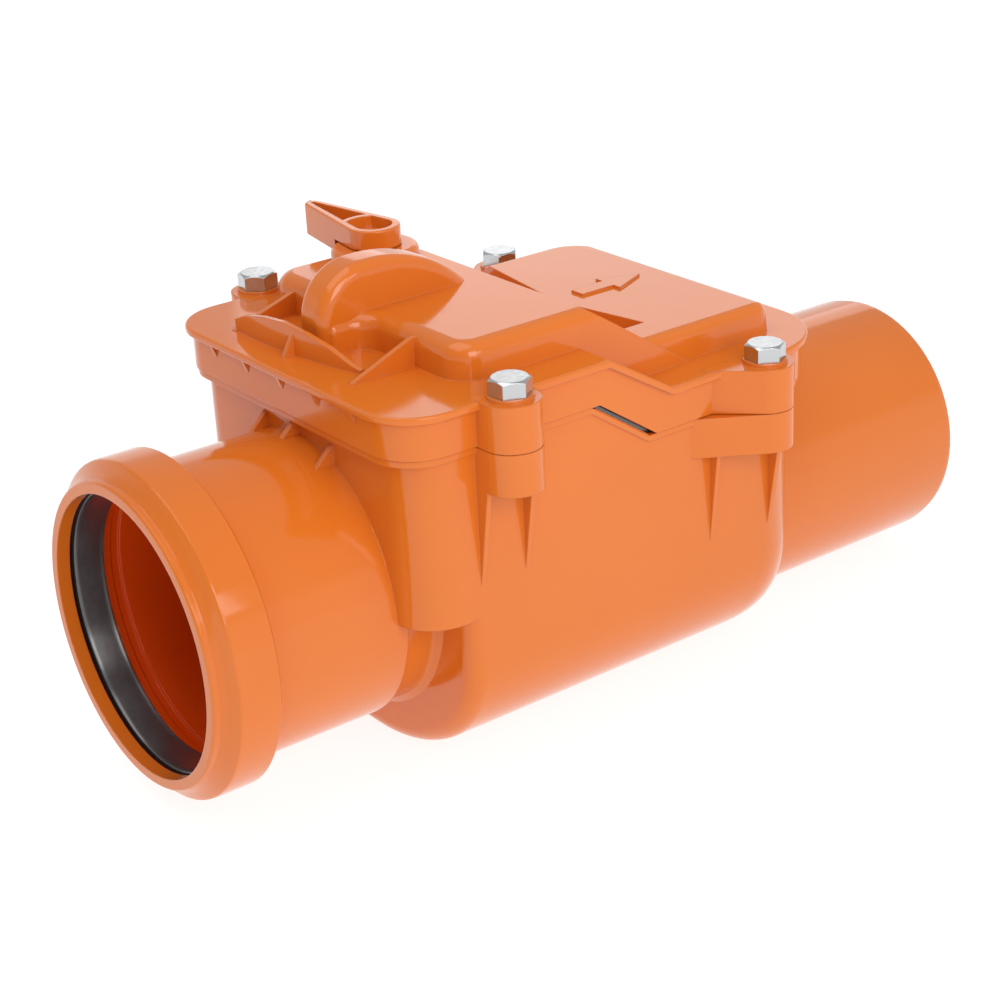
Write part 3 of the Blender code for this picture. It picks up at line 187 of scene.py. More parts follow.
def moulded(name, colour, shade, rough, coat, edge):
    """Smooth moulded plastic: a clean gloss, faint flow marks, slightly sunk walls, and painted shade that darkens
    and reddens the wall of the socket's bore.
    """
    nodes = Nodes(name)
    point = nodes.add("ShaderNodeTexCoord").outputs["Object"]
    broad = noise(nodes, point, 9.0, 3.0)
    mix = nodes.add("ShaderNodeMix")
    mix.data_type = "RGBA"
    nodes.tree.links.new(ramp(nodes, broad, 0.35, 0.65, 0.0, 1.0), mix.inputs["Factor"])
    mix.inputs["A"].default_value = colour
    mix.inputs["B"].default_value = shade
    # Painted shade: the base colour is darkened and reddened on the wall of the socket's bore.
    painted_shade = nodes.add("ShaderNodeMix")
    painted_shade.data_type = "RGBA"
    nodes.tree.links.new(painted_bore_shade(nodes, point), painted_shade.inputs["Factor"])
    nodes.tree.links.new(mix.outputs["Result"], painted_shade.inputs["A"])
    painted_shade.inputs["B"].default_value = tuple(a * b for a, b in zip(colour, PAINTED_BORE_SHADE_TINT)) + (1.0,)
    nodes.set("Base Color", painted_shade.outputs["Result"])
    fine = noise(nodes, point, 160.0, 2.0)
    nodes.set("Roughness", ramp(nodes, fine, 0.3, 0.7, rough - 0.02, rough + 0.02))
    waves = nodes.add("ShaderNodeBump", Height=noise(nodes, point, 28.0, 1.0), Strength=0.18, Distance=0.0005)
    grain = nodes.add("ShaderNodeBump", Height=noise(nodes, point, 900.0, 1.0), Strength=0.03, Distance=0.0001)
    nodes.tree.links.new(soft_edge(nodes, edge), waves.inputs["Normal"])
    nodes.tree.links.new(waves.outputs["Normal"], grain.inputs["Normal"])
    nodes.set("Normal", grain.outputs["Normal"])
    nodes.set("Coat Weight", coat)
    nodes.set("Coat Roughness", 0.05)
    nodes.set("Specular IOR Level", 0.5)
    return nodes.material


def rubber(name):
    nodes = Nodes(name)
    point = nodes.add("ShaderNodeTexCoord").outputs["Object"]
    nodes.set("Base Color", (0.026, 0.027, 0.031, 1.0))
    nodes.set("Coat Weight", 0.8)
    nodes.set("Coat Roughness", 0.24)
    fine = noise(nodes, point, 420.0, 2.0)
    nodes.set("Roughness", ramp(nodes, fine, 0.3, 0.7, 0.20, 0.27))
    nodes.set("Specular IOR Level", 1.0)
    bump = nodes.add("ShaderNodeBump", Height=fine, Strength=0.15, Distance=0.0002)
    nodes.tree.links.new(soft_edge(nodes, 0.0005), bump.inputs["Normal"])
    nodes.set("Normal", bump.outputs["Normal"])
    return nodes.material


def plated(name):
    """Zinc-plated steel with fine forming marks and a faint bluish tint."""
    nodes = Nodes(name)
    point = nodes.add("ShaderNodeTexCoord").outputs["Object"]
    nodes.set("Base Color", (0.54, 0.55, 0.56, 1.0))
    nodes.set("Metallic", 1.0)
    fine = noise(nodes, point, 520.0, 3.0)
    nodes.set("Roughness", ramp(nodes, fine, 0.3, 0.7, 0.14, 0.26))
    bump = nodes.add("ShaderNodeBump", Height=fine, Strength=0.15, Distance=0.0002)
    nodes.tree.links.new(soft_edge(nodes, 0.0004), bump.inputs["Normal"])
    nodes.set("Normal", bump.outputs["Normal"])
    return nodes.material


ORANGE = moulded("orange_plastic", (0.71, 0.172, 0.018, 1.0), (0.68, 0.160, 0.015, 1.0), 0.10, 0.0, 0.0007)
GREY = moulded("grey_plastic", (0.085, 0.085, 0.09, 1.0), (0.075, 0.075, 0.08, 1.0), 0.40, 0.0, 0.0004)
BLACK = rubber("black_rubber")
STEEL = plated("plated_steel")
FINISH = {"pvc_orange": ORANGE, "rubber_black": BLACK, "zinc_steel": STEEL, "abs_grey": GREY}


def shaded(obj, slot):
    obj.data.materials.clear()
    obj.data.materials.append(FINISH[slot])
    obj.data.shade_smooth()
    obj.data.set_sharp_from_angle(angle=math.radians(30.0))


def dress_nodes():
    for row in frame["record"]["subparts"]:
        shaded(frame["nodes"][row["node"]], row["material_slot"])


def dressed(obj, node, slot):
    """Put a finished form in the frame's place, in the stead of the node that it stands for."""
    obj.data.transform(Matrix.Translation(place(0.0, 0.0, 0.0)))
    obj.name = node + "_form"
    obj.data.name = obj.name
    shaded(obj, slot)
    weigh = obj.modifiers.new("weigh", "WEIGHTED_NORMAL")
    weigh.keep_sharp = True
    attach(obj, "lever" if node == "lever" else "valve_body")
    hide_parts(node)
    return obj


# Forms, by station, offset and height from the socket's axis

FINE = 2

GAP = 0.0003
RUN = 0.0003
OVER = 0.0010
TOTAL_LENGTH = 0.3892
SEGMENTS = 40
SMALL = 16
CORNER_STEPS = 5
WALL = 0.0040
PIPE_R = 0.0550
WATERWAY_STEP = 0.0030
WATERWAY_R = PIPE_R - WATERWAY_STEP
SOCKET_PLAY = 0.0008
SOCKET_R = PIPE_R + SOCKET_PLAY
MOUTH_WALL = 0.0048
MOUTH_R = SOCKET_R + MOUTH_WALL
MOUTH_LENGTH = 0.0030
THROAT_WALL = 0.0064
THROAT_R = SOCKET_R + THROAT_WALL
COLLAR_WALL = 0.0112
COLLAR_R = SOCKET_R + COLLAR_WALL
COLLAR_START = 0.0078
COLLAR_END = 0.0251
SOCKET_WALL = 0.0038
SOCKET_TUBE_R = SOCKET_R + SOCKET_WALL
SOCKET_TUBE_END = 0.0850
SOCKET_DEPTH = 0.0680
NECK_WALL = 0.0046
NECK_R = WATERWAY_R + NECK_WALL
SEAL_START = 0.0066
SEAL_LENGTH = 0.0096
SEAL_GROOVE = 0.0066
SEAL_GROOVE_R = SOCKET_R + SEAL_GROOVE
SEAL_REACH = 0.0030
SEAL_LIP_R = SOCKET_R - SEAL_REACH
TILT = math.radians(10.0)
SEAT_X = 0.1100
SEAT_EASE = 0.0010
SEAT_BORE_R = WATERWAY_R + SEAT_EASE
SEAT_LAND = 0.0090
SEAT_RING_R = SEAT_BORE_R + SEAT_LAND
SEAT_RING = 0.0040
STUB_WALL = 0.0080
STUB_R = WATERWAY_R + STUB_WALL
SIDE_ROOM = 0.0110
FLOOR_ROOM = 0.0090
HEAD_ROOM = 0.0074
BODY_FRONT = 0.0803
BODY_BACK = 0.2804
BODY_HALF = SEAT_RING_R + SIDE_ROOM + WALL
BODY_CORNER = 0.0180
BODY_BACK_CORNER = 0.0310
SHELF = 0.0
TROUGH_DEPTH = SEAT_RING_R + FLOOR_ROOM + WALL
TROUGH_FRONT = 0.1010
TROUGH_SPRING = 0.0200
TROUGH_FLAT = 0.0060
TROUGH_EDGE = 0.0070
TROUGH_BACK_EDGE = 0.0085
TROUGH_LAP = 0.0120
RIM_OUT = 0.0010
RIM_INLET_OUT = 0.0048
RIM_OUTLET_OUT = 0.0071
RIM_HEIGHT = 0.0026
GASKET_W = 0.0022
GASKET_SEAT = 0.0030
SPIGOT_DROP = 0.0188
SPIGOT_WALL = 0.0038
SPIGOT_TAPER = 0.0035
SPIGOT_NOSE = 0.0009
PARTING = SEAT_RING_R + HEAD_ROOM
STEP = 0.0192
RIM_SLOPE_START = 0.1613
RIM_SLOPE_RUN = 0.0279
SLOPE_SLOT = 0.0033
SLOT_SHADOW = 0.0018
PLATE_RISE = 0.0178
PLATE_TOP = PARTING + PLATE_RISE
PLATE_SLOPE_START = 0.1680
PLATE_SLOPE_RUN = 0.0312
PLATE = 0.0035
LIP = 0.0032
LIP_OUT = 0.0027
LIP_EDGE = 0.0010
SKIRT_OUT = 0.0008
SKIRT = 0.0036
SKIRT_FOOT = 0.0040
BOLT_INLET_X = 0.1186
BOLT_OUTLET_X = 0.2434
BOLT_OUT = 0.0079
BOLT_Y = BODY_HALF + BOLT_OUT
BOSS_R = 0.0115
BOSS_DEPTH = 0.0166
BOSS_WEB = 0.0324
COVER_WEB = 0.0244
COLLET = 0.0016
COLLET_R = 0.0088
BOLT_R = 0.0049
HEAD_FLATS = 0.0144
HEAD_HEIGHT = 0.0064
BOLT_LENGTH = 0.0350
NUT_HEIGHT = 0.0080
RIB = 0.0022
RIB_DROP = 0.0410
RIB_DEPTH = 0.0066
RIB_SET_BACK = 0.0110
WEB = 0.0022
GUSSET_Y = (0.0222, -0.0008, -0.0238)
GUSSET_RUN = 0.0081
GUSSET_RISE = 0.0085
TINY_Y = (0.0470, 0.0235, -0.0010, -0.0255, -0.0495)
TINY_DROP = 0.0045
TINY_HALF = 0.0010
DECK_START = 0.1115
DECK_JOIN = 0.2300
DECK_END = 0.2718
DECK_INSET = 0.0125
DECK_HALF = BODY_HALF - DECK_INSET
DECK_FAR = 0.0040
DECK_RISE = 0.0138
DECK_TOP = PLATE_TOP + DECK_RISE
DECK_CORNER = 0.0130
DECK_BACK_CORNER = 0.0095
DECK_ROUND = 0.0065
DECK_DRAFT = 0.0012
RIDGE_X = 0.1732
LOW_DECK_RISE = 0.0125
LOW_DECK_TOP = PLATE_TOP - STEP + LOW_DECK_RISE
LOW_DECK_START = 0.1500
LOW_DECK_DROP = 0.0015
LOW_DECK_ROUND = 0.0050
LOW_DECK_BACK_ROUND = 0.0075
CHANNEL_START = 0.2035
CHANNEL_MIDDLE = 0.2085
CHANNEL_END = 0.2168
CHANNEL_HALF = 0.0440
CHANNEL_DEPTH = 0.0055
HORN_Y = 0.0060
DOME_HALF = 0.0090
DOME_Y0 = HORN_Y - DOME_HALF
DOME_Y1 = HORN_Y + DOME_HALF
DOME_X0 = 0.0932
DOME_CREST_X = 0.1200
DOME_RISE = 0.0186
DOME_TOP = DECK_TOP + DOME_RISE
DOME_FRONT_R = 0.0220
DOME_BACK_R = 0.0590
DOME_BACK_ANGLE = 40.0
DOME_EDGE = 0.0050
DOME_WALL = 0.0035
LEDGE = 0.0025
LEDGE_X = DOME_X0 + 0.0018
LEDGE_BEND = 0.0075
LEDGE_CORNER = 0.0040
WEB_TIP = 0.0842
WEB_Y = (0.0480, -0.0338)
WEB_RISE = (0.0093, 0.0113)
CREST_X = 0.0850
CREST_Y = 0.0350
CREST_R = 0.2500
CREST_PROFILE = (
    (0.0600, 0.0020),
    (0.0480, 0.0048),
    (0.0400, 0.0082),
    (0.0270, 0.0108),
    (0.0140, 0.0118),
    (0.0000, 0.0102),
    (-0.0120, 0.0074),
    (-0.0230, 0.0026),
    (-0.0310, 0.0004),
    (-0.0600, 0.0004),
)
CREST_RIB_Y = 0.0082
CREST_RIB_RISE = 0.0086
ARROW_X = 0.2200
ARROW_Y = 0.0015
ARROW_SHAFT = 0.0165
ARROW_HEAD = 0.0175
ARROW_HALF = 0.0036
ARROW_BARB = 0.0078
ARROW_HEIGHT = 0.0010
LEVER_X = 0.1530
LEVER_INSET = 0.0165
LEVER_Y = DECK_HALF - LEVER_INSET
TURRET_R = 0.0180
TURRET = 0.0060
TURRET_EDGE = 0.0026
SLEEVE_R = 0.0120
SHAFT_R = 0.0075
LEVER_RISE = 0.0005
LEVER_HEIGHT = 0.0081
LEVER_DROP = 0.0055
LEVER_EDGE = 0.0008
LEVER_R = 0.0110
LEVER_REACH = 0.0445
LEVER_TIP_R = 0.0035
LEVER_WALL = 0.0032
ORING_T = 0.0018
FINGER_RISE = 0.0062
FINGER_Z = PARTING + FINGER_RISE
FINGER_T = 0.0062
FINGER_SCREW_R = 0.0017
SQUARE = 0.0042
SLEEVE_ROOM = 0.0027
SLEEVE_END = FINGER_Z + FINGER_T + SLEEVE_ROOM
HEAD_TURNS = (5.0, -2.0, 49.0, 21.0)
FAR_LOW = -0.02
FAR_HIGH = 0.42
RIM_FRONT = BODY_FRONT - RIM_INLET_OUT
RIM_BACK = BODY_BACK + RIM_OUTLET_OUT
RIM_HALF = BODY_HALF + RIM_OUT
RIM_CORNER = BODY_CORNER + RIM_OUT
RIM_BACK_CORNER = BODY_BACK_CORNER + RIM_OUT
DECK_FAR_CORNER = 0.0200
CHANNEL_FAR = 0.0670
CHANNEL_FAR_END = 0.2188
SEAT_UP = Vector((-math.sin(TILT), 0.0, math.cos(TILT)))
SEAT_OUT = Vector((math.cos(TILT), 0.0, math.sin(TILT)))
SEAT_CENTRE = Vector((SEAT_X, 0.0, 0.0))


def link(obj):
    bpy.context.scene.collection.objects.link(obj)
    return obj


def baked(obj, turn_out=False):
    """Replace an object by the plain mesh that its modifiers and place give it."""
    bpy.context.view_layer.update()
    graph = bpy.context.evaluated_depsgraph_get()
    mesh = bpy.data.meshes.new_from_object(obj.evaluated_get(graph))
    mesh.transform(obj.matrix_world)
    shape = bmesh.new()
    shape.from_mesh(mesh)
    bmesh.ops.remove_doubles(shape, verts=shape.verts, dist=0.000002)
    bmesh.ops.dissolve_degenerate(shape, dist=0.000002, edges=shape.edges)
    loose = [edge for edge in shape.edges if not edge.link_faces]
    bmesh.ops.delete(shape, geom=loose, context="EDGES")
    if turn_out:
        bmesh.ops.recalc_face_normals(shape, faces=shape.faces)
    shape.to_mesh(mesh)
    shape.free()
    name = obj.name
    bpy.data.objects.remove(obj, do_unlink=True)
    return link(bpy.data.objects.new(name, mesh))


def boolean(target, tool, operation):
    change = target.modifiers.new(operation.lower(), "BOOLEAN")
    change.operation = operation
    change.solver = "EXACT"
    change.object = tool
    result = baked(target)
    bpy.data.objects.remove(tool, do_unlink=True)
    return result


def cut(target, *tools):
    for tool in tools:
        target = boolean(target, tool, "DIFFERENCE")
    return target


def join(target, *tools):
    for tool in tools:
        target = boolean(target, tool, "UNION")
    return target


def meet(target, tool):
    return boolean(target, tool, "INTERSECT")


def outline(name, points, low, high, plane="XY"):
    """A flat closed outline, extruded from low to high square to its plane."""
    curve = bpy.data.curves.new(name, "CURVE")
    curve.dimensions = "2D"
    curve.fill_mode = "BOTH"
    curve.extrude = (high - low) / 2
    spline = curve.splines.new("POLY")
    spline.points.add(len(points) - 1)
    for place, point in zip(spline.points, points):
        place.co = (point[0], point[1], 0.0, 1.0)
    spline.use_cyclic_u = True
    obj = link(bpy.data.objects.new(name, curve))
    middle = (low + high) / 2
    if plane == "XY":
        obj.matrix_world = Matrix.Translation((0, 0, middle))
    elif plane == "XZ":
        turn = Matrix.Rotation(math.pi / 2, 4, "X")
        obj.matrix_world = Matrix.Translation((0, middle, 0)) @ turn
    else:
        turn = Matrix(((0, 0, 1, 0), (1, 0, 0, 0), (0, 1, 0, 0), (0, 0, 0, 1)))
        obj.matrix_world = Matrix.Translation((middle, 0, 0)) @ turn
    return baked(obj, True)


def arc(cx, cy, radius, start, end, steps):
    points = []
    steps *= FINE
    for i in range(steps + 1):
        a = math.radians(start + (end - start) * i / steps)
        points.append((cx + radius * math.cos(a), cy + radius * math.sin(a)))
    return points


def rounded(x0, x1, half, radius, back, steps=CORNER_STEPS):
    """A rectangle with one corner radius in front and another at the back."""
    points = arc(x1 - back, -half + back, back, -90, 0, steps)
    points += arc(x1 - back, half - back, back, 0, 90, steps)
    points += arc(x0 + radius, half - radius, radius, 90, 180, steps)
    points += arc(x0 + radius, -half + radius, radius, 180, 270, steps)
    return points


def body_outline(inset):
    """The plan of the housing's walls, moved in by a distance."""
    return rounded(BODY_FRONT + inset, BODY_BACK - inset, BODY_HALF - inset, BODY_CORNER - inset,
                   BODY_BACK_CORNER - inset)


def box(name, x0, x1, y0, y1, z0, z1):
    bpy.ops.mesh.primitive_cube_add(size=1.0)
    obj = bpy.context.object
    obj.name = name
    obj.scale = (x1 - x0, y1 - y0, z1 - z0)
    obj.location = ((x0 + x1) / 2, (y0 + y1) / 2, (z0 + z1) / 2)
    return baked(obj)


def rod(name, radius, start, end, segments=SMALL):
    """A cylinder between two points."""
    segments *= FINE
    start = Vector(start)
    end = Vector(end)
    bpy.ops.mesh.primitive_cylinder_add(vertices=segments, radius=radius, depth=(end - start).length)
    obj = bpy.context.object
    obj.name = name
    turn = (end - start).to_track_quat("Z", "Y").to_matrix().to_4x4()
    obj.matrix_world = Matrix.Translation((start + end) / 2) @ turn
    return baked(obj)


def turned(name, profile, frame, segments=SEGMENTS):
    """A profile of (radius, height) pairs, closed on itself, turned about local Z."""
    segments *= FINE
    mesh = bpy.data.meshes.new(name)
    count = len(profile)
    mesh.from_pydata([(r, 0.0, h) for r, h in profile], [(i, (i + 1) % count) for i in range(count)], [])
    obj = link(bpy.data.objects.new(name, mesh))
    screw = obj.modifiers.new("turn", "SCREW")
    screw.steps = segments
    screw.render_steps = segments
    screw.use_merge_vertices = True
    screw.merge_threshold = 0.00001
    obj.matrix_world = frame
    return baked(obj, True)


def along_x(x=0.0, y=0.0, z=0.0):
    """Local Z runs along the flow."""
    turn = Matrix(((0, 0, 1, 0), (0, 1, 0, 0), (-1, 0, 0, 0), (0, 0, 0, 1)))
    return Matrix.Translation((x, y, z)) @ turn


def upright(x=0.0, y=0.0, z=0.0):
    return Matrix.Translation((x, y, z))


def softened(obj, width, segments=2, angle=35.0):
    bevel = obj.modifiers.new("round", "BEVEL")
    bevel.use_clamp_overlap = False
    bevel.width = width
    bevel.segments = segments
    bevel.limit_method = "ANGLE"
    bevel.angle_limit = math.radians(angle)
    return baked(obj)


def stepped(high, start, run, low_end, high_end):
    """The points of a stepped line: level, down the slope, level again."""
    return [(low_end, high), (start, high), (start + run, high - STEP), (high_end, high - STEP)]


def band(name, lower, upper, half=0.13):
    """The room between two stepped lines, wider than the part."""
    return outline(name, lower + upper[::-1], -half, half, "XZ")


def rim_line(shift=0.0):
    return stepped(PARTING + shift, RIM_SLOPE_START, RIM_SLOPE_RUN, FAR_LOW, FAR_HIGH)


def skirt_line(shift=0.0):
    start = RIM_SLOPE_START + SLOPE_SLOT
    return stepped(PARTING + shift, start, RIM_SLOPE_RUN, FAR_LOW, FAR_HIGH)


def plate_line(shift=0.0):
    return stepped(PLATE_TOP + shift, PLATE_SLOPE_START, PLATE_SLOPE_RUN, FAR_LOW, FAR_HIGH)


def level_line(height):
    return [(FAR_LOW, height), (FAR_HIGH, height)]


def rim_outline(out):
    """The outline of the rim, moved out by a distance."""
    return rounded(RIM_FRONT - out, RIM_BACK + out, RIM_HALF + out, RIM_CORNER + out, RIM_BACK_CORNER + out)


def boss_outline(x, side, web):
    """A round boss with a web to the wall, slanted on its inlet side when the web has a length."""
    root = BODY_HALF - 2 * WALL / 3
    if web > 0:
        reach = x - web
        dx = x - reach
        dy = BOLT_Y - BODY_HALF
        span = math.hypot(dx, dy)
        angle = math.atan2(dy, dx) + math.asin(BOSS_R / span)
        start = math.degrees(angle) + 90.0
        points = [(x + BOSS_R, root), (reach, root), (reach, BODY_HALF)]
        points += arc(x, BOLT_Y, BOSS_R, start, 0, 10)
    else:
        points = [(x + BOSS_R, root), (x - BOSS_R, root)]
        points += arc(x, BOLT_Y, BOSS_R, 180, 0, 12)
    return [(px, side * py) for px, py in points]


def boss_sites():
    return [
        (1, BOLT_INLET_X, -1, False, 0.0),
        (2, BOLT_OUTLET_X, -1, True, STEP),
        (3, BOLT_INLET_X, 1, False, 0.0),
        (4, BOLT_OUTLET_X, 1, True, STEP),
    ]


def trough_section(inset, lift, top, steps):
    """The cross-section of the trough, its sides moved in by inset and its floor up by lift."""
    half = BODY_HALF - inset
    depth = TROUGH_DEPTH - TROUGH_SPRING - lift
    flat = TROUGH_FLAT
    side = []
    for i in range(steps + 1):
        a = math.radians(90.0 * i / steps)
        side.append((flat + (half - flat) * math.cos(a), -TROUGH_SPRING - depth * math.sin(a)))
    points = [(half, top)] + side
    return points + [(-y, z) for y, z in reversed(points)]


def loft(name, sections):
    """A closed solid through sections of equal count, each a station and its points."""
    shape = bmesh.new()
    rings = []
    for x, points in sections:
        rings.append([shape.verts.new((x, y, z)) for y, z in points])
    for a, b in zip(rings[:-1], rings[1:]):
        for i in range(len(a)):
            j = (i + 1) % len(a)
            shape.faces.new((a[i], a[j], b[j], b[i]))
    shape.faces.new(rings[0])
    shape.faces.new(rings[-1])
    bmesh.ops.recalc_face_normals(shape, faces=shape.faces)
    mesh = bpy.data.meshes.new(name)
    shape.to_mesh(mesh)
    shape.free()
    return baked(link(bpy.data.objects.new(name, mesh)))


def edge_pull(distance, radius, steps):
    """How far a rounded edge, drawn in steps, lies inside its corner at a distance from the end."""
    for i in range(steps):
        a = math.radians(90.0 * i / steps)
        b = math.radians(90.0 * (i + 1) / steps)
        far = radius * (1.0 - math.sin(a))
        near = radius * (1.0 - math.sin(b))
        if near <= distance <= far:
            share = (far - distance) / (far - near)
            return radius * (1.0 - math.cos(a) * (1.0 - share) - math.cos(b) * share)
    return 0.0


def trough(name, front, back, inset, top, front_edge, back_corner, back_edge, steps):
    sections = []
    curve = CORNER_STEPS * FINE
    edge = 4 * FINE
    steps *= FINE
    for i in range(edge + 1):
        a = math.radians(90.0 * i / edge)
        pull = front_edge * (1.0 - math.sin(a))
        section = trough_section(inset + pull, inset + pull, top, steps)
        sections.append((front + front_edge * (1.0 - math.cos(a)), section))
    reaches = [back_corner * (1.0 - math.sin(math.radians(90.0 * i / curve))) for i in range(curve)]
    reaches += [back_edge * (1.0 - math.sin(math.radians(90.0 * i / edge))) for i in range(edge)]
    for reach in sorted(reaches, reverse=True) + [0.0]:
        aside = edge_pull(reach, back_corner, curve)
        lift = edge_pull(reach, back_edge, edge)
        sections.append((back - reach, trough_section(inset + aside, inset + lift, top, steps)))
    return loft(name, sections)


def housing():
    roof = level_line(PARTING - RIM_HEIGHT / 2)
    body = outline("body", body_outline(0.0), SHELF, 0.12)
    body = join(body, trough("trough", TROUGH_FRONT, BODY_BACK, 0.0, SHELF + TROUGH_LAP, TROUGH_EDGE,
                             BODY_BACK_CORNER, TROUGH_BACK_EDGE, 10))
    top = rim_line(-GAP / 2)
    body = meet(body, band("under_rim", level_line(-0.2), top))
    rim = outline("rim", rim_outline(0.0), 0.0, 0.12)
    rim = meet(rim, band("rim_band", rim_line(-GAP / 2 - RIM_HEIGHT), top))
    body = join(body, rim)
    tongue = outline("tongue", body_outline(0.0), 0.0, 0.12)
    tongue = meet(tongue, band("tongue_band", rim_line(-RIM_HEIGHT), skirt_line(-SLOT_SHADOW)))
    body = join(body, tongue)
    for number, x, side, chamfer, drop in boss_sites():
        high = PARTING - drop - GAP / 2
        low = PARTING - drop - BOSS_DEPTH
        boss = outline("boss", boss_outline(x, side, BOSS_WEB if chamfer else 0.0), low, high)
        body = join(body, boss)
        for shift in (-BOSS_R + RIB / 2, BOSS_R - RIB / 2):
            reach = RIB_DEPTH
            rib_x = x + shift
            if chamfer and shift < 0:
                reach = 0.7 * RIB_DEPTH
                rib_x = x - BOSS_WEB + RIB_SET_BACK
            inner = BODY_HALF - WALL / 2
            wedge = [
                (side * inner, low + OVER),
                (side * (BODY_HALF + reach), low + OVER),
                (side * (BODY_HALF + reach), low - 0.0008),
                (side * (BODY_HALF - 0.0002), low - RIB_DROP),
                (side * inner, low - RIB_DROP),
            ]
            body = join(body, outline("rib", wedge, rib_x - RIB / 2, rib_x + RIB / 2, "YZ"))
    stub_profile = [
        (COLLAR_R - 0.0012, COLLAR_END),
        (SOCKET_TUBE_R, COLLAR_END),
        (SOCKET_TUBE_R, SOCKET_TUBE_END),
        (NECK_R, SOCKET_TUBE_END + 0.0008),
        (NECK_R, TROUGH_FRONT - 0.0040),
        (NECK_R + 0.0012, TROUGH_FRONT - 0.0016),
        (NECK_R + 0.0040, TROUGH_FRONT + 0.0002),
        (STUB_R, TROUGH_FRONT + WALL / 2),
        (STUB_R, SEAT_X + 0.0200),
        (SOCKET_R - 0.012, SEAT_X + 0.0200),
        (SOCKET_R - 0.012, 0.0),
        (MOUTH_R - 0.0008, 0.0),
        (MOUTH_R, 0.0008),
        (MOUTH_R, MOUTH_LENGTH),
        (THROAT_R - 0.0006, MOUTH_LENGTH + 0.0010),
        (THROAT_R + 0.0010, MOUTH_LENGTH + 0.0026),
        (COLLAR_R - 0.0016, COLLAR_START - 0.0012),
        (COLLAR_R - 0.0003, COLLAR_START),
        (COLLAR_R, COLLAR_START + 0.0016),
        (COLLAR_R, COLLAR_END - 0.0010),
    ]
    sleeve = turned("sleeve", stub_profile, along_x())
    plane = seat_side("sleeve_end", -SEAT_RING - GAP, 0.09)
    sleeve = cut(sleeve, plane)
    end = TOTAL_LENGTH
    pipe = [(PIPE_R, BODY_BACK - 0.0200), (0.0, BODY_BACK - 0.0200), (0.0, end), (PIPE_R - SPIGOT_NOSE, end),
            (PIPE_R, end - SPIGOT_TAPER)]
    body = join(body, turned("spigot", pipe, along_x(z=-SPIGOT_DROP)))
    body = cut(body, hollow_room())
    body = join(body, sleeve)
    bore_profile = [
        (SOCKET_R, -OVER),
        (0.0, -OVER),
        (0.0, SEAT_X + 0.03),
        (WATERWAY_R, SEAT_X + 0.03),
        (WATERWAY_R, SOCKET_DEPTH + 0.0036),
        (SOCKET_R - 0.0006, SOCKET_DEPTH),
        (SOCKET_R - 0.0003, SEAL_START + SEAL_LENGTH + 0.0110),
        (SOCKET_R + 0.0007, SEAL_START + SEAL_LENGTH + 0.0104),
        (SOCKET_R + 0.0007, SEAL_START + SEAL_LENGTH + 0.0074),
        (SOCKET_R - 0.0002, SEAL_START + SEAL_LENGTH + 0.0068),
        (SOCKET_R - 0.0002, SEAL_START + SEAL_LENGTH + 0.0040),
        (SOCKET_R + 0.0020, SEAL_START + SEAL_LENGTH + 0.0030),
        (SEAL_GROOVE_R, SEAL_START + SEAL_LENGTH + 0.0002),
        (SEAL_GROOVE_R, SEAL_START - 0.0002),
        (SOCKET_R + 0.0002, SEAL_START - 0.0010),
    ]
    body = cut(body, turned("bore", bore_profile, along_x()))
    bore_start = BODY_BACK - 0.0300
    outlet = rod("outlet", PIPE_R - SPIGOT_WALL, (bore_start, 0, -SPIGOT_DROP),
                 (TOTAL_LENGTH + OVER, 0, -SPIGOT_DROP), SEGMENTS)
    body = cut(body, outlet)
    seat = outline("gasket_seat", body_outline(WALL - GASKET_W - GAP), 0.0, 0.12)
    seat = meet(seat, band("seat_band", rim_line(-GASKET_SEAT - GAP / 2), level_line(0.115)))
    body = cut(body, seat)
    for number, x, side, chamfer, drop in boss_sites():
        low = PARTING - drop - BOSS_DEPTH
        y = side * BOLT_Y
        body = cut(body, rod("hole", BOLT_R + GAP, (x, y, low - OVER), (x, y, PARTING + OVER), SMALL))
        pocket = hexagon("pocket", HEAD_FLATS + 2 * GAP, x, side * BOLT_Y, low - OVER, low + NUT_HEIGHT + GAP)
        body = cut(body, pocket)
    toe = BODY_FRONT - GUSSET_RUN
    for y in GUSSET_Y:
        ground = math.sqrt(SOCKET_TUBE_R ** 2 - y ** 2)
        web = [(BODY_FRONT + OVER, ground - 0.0030), (toe, ground - 0.0030), (toe, ground - 0.0002),
               (BODY_FRONT + OVER, ground + GUSSET_RISE)]
        body = join(body, outline("gusset", web, y - WEB / 2, y + WEB / 2, "XZ"))
    return dressed(body, "housing", "pvc_orange")


def hollow_room():
    """The room inside the housing."""
    upper = outline("upper_room", body_outline(WALL), SHELF + WALL, 0.13)
    lower = trough("lower_room", TROUGH_FRONT + WALL, BODY_BACK - WALL, WALL, SHELF + WALL + TROUGH_LAP / 2,
                   TROUGH_EDGE - WALL + 0.0006, BODY_BACK_CORNER - WALL, TROUGH_BACK_EDGE - WALL, 8)
    return join(upper, lower)


def seat_point(s, n, y=0.0):
    return SEAT_CENTRE + SEAT_UP * s + SEAT_OUT * n + Vector((0.0, y, 0.0))


def seat_frame(n=0.0):
    """Local Z is square to the seat, local X points up along it."""
    turn = Matrix((
        (SEAT_UP.x, 0.0, SEAT_OUT.x, 0.0),
        (SEAT_UP.y, -1.0, SEAT_OUT.y, 0.0),
        (SEAT_UP.z, 0.0, SEAT_OUT.z, 0.0),
        (0.0, 0.0, 0.0, 1.0)))
    return Matrix.Translation(seat_point(0.0, n)) @ turn


def seat_side(name, low, high):
    """All the room between two planes square to the axis of the seat."""
    obj = box(name, -0.2, 0.2, -0.2, 0.2, low, high)
    obj.matrix_world = seat_frame()
    return baked(obj)


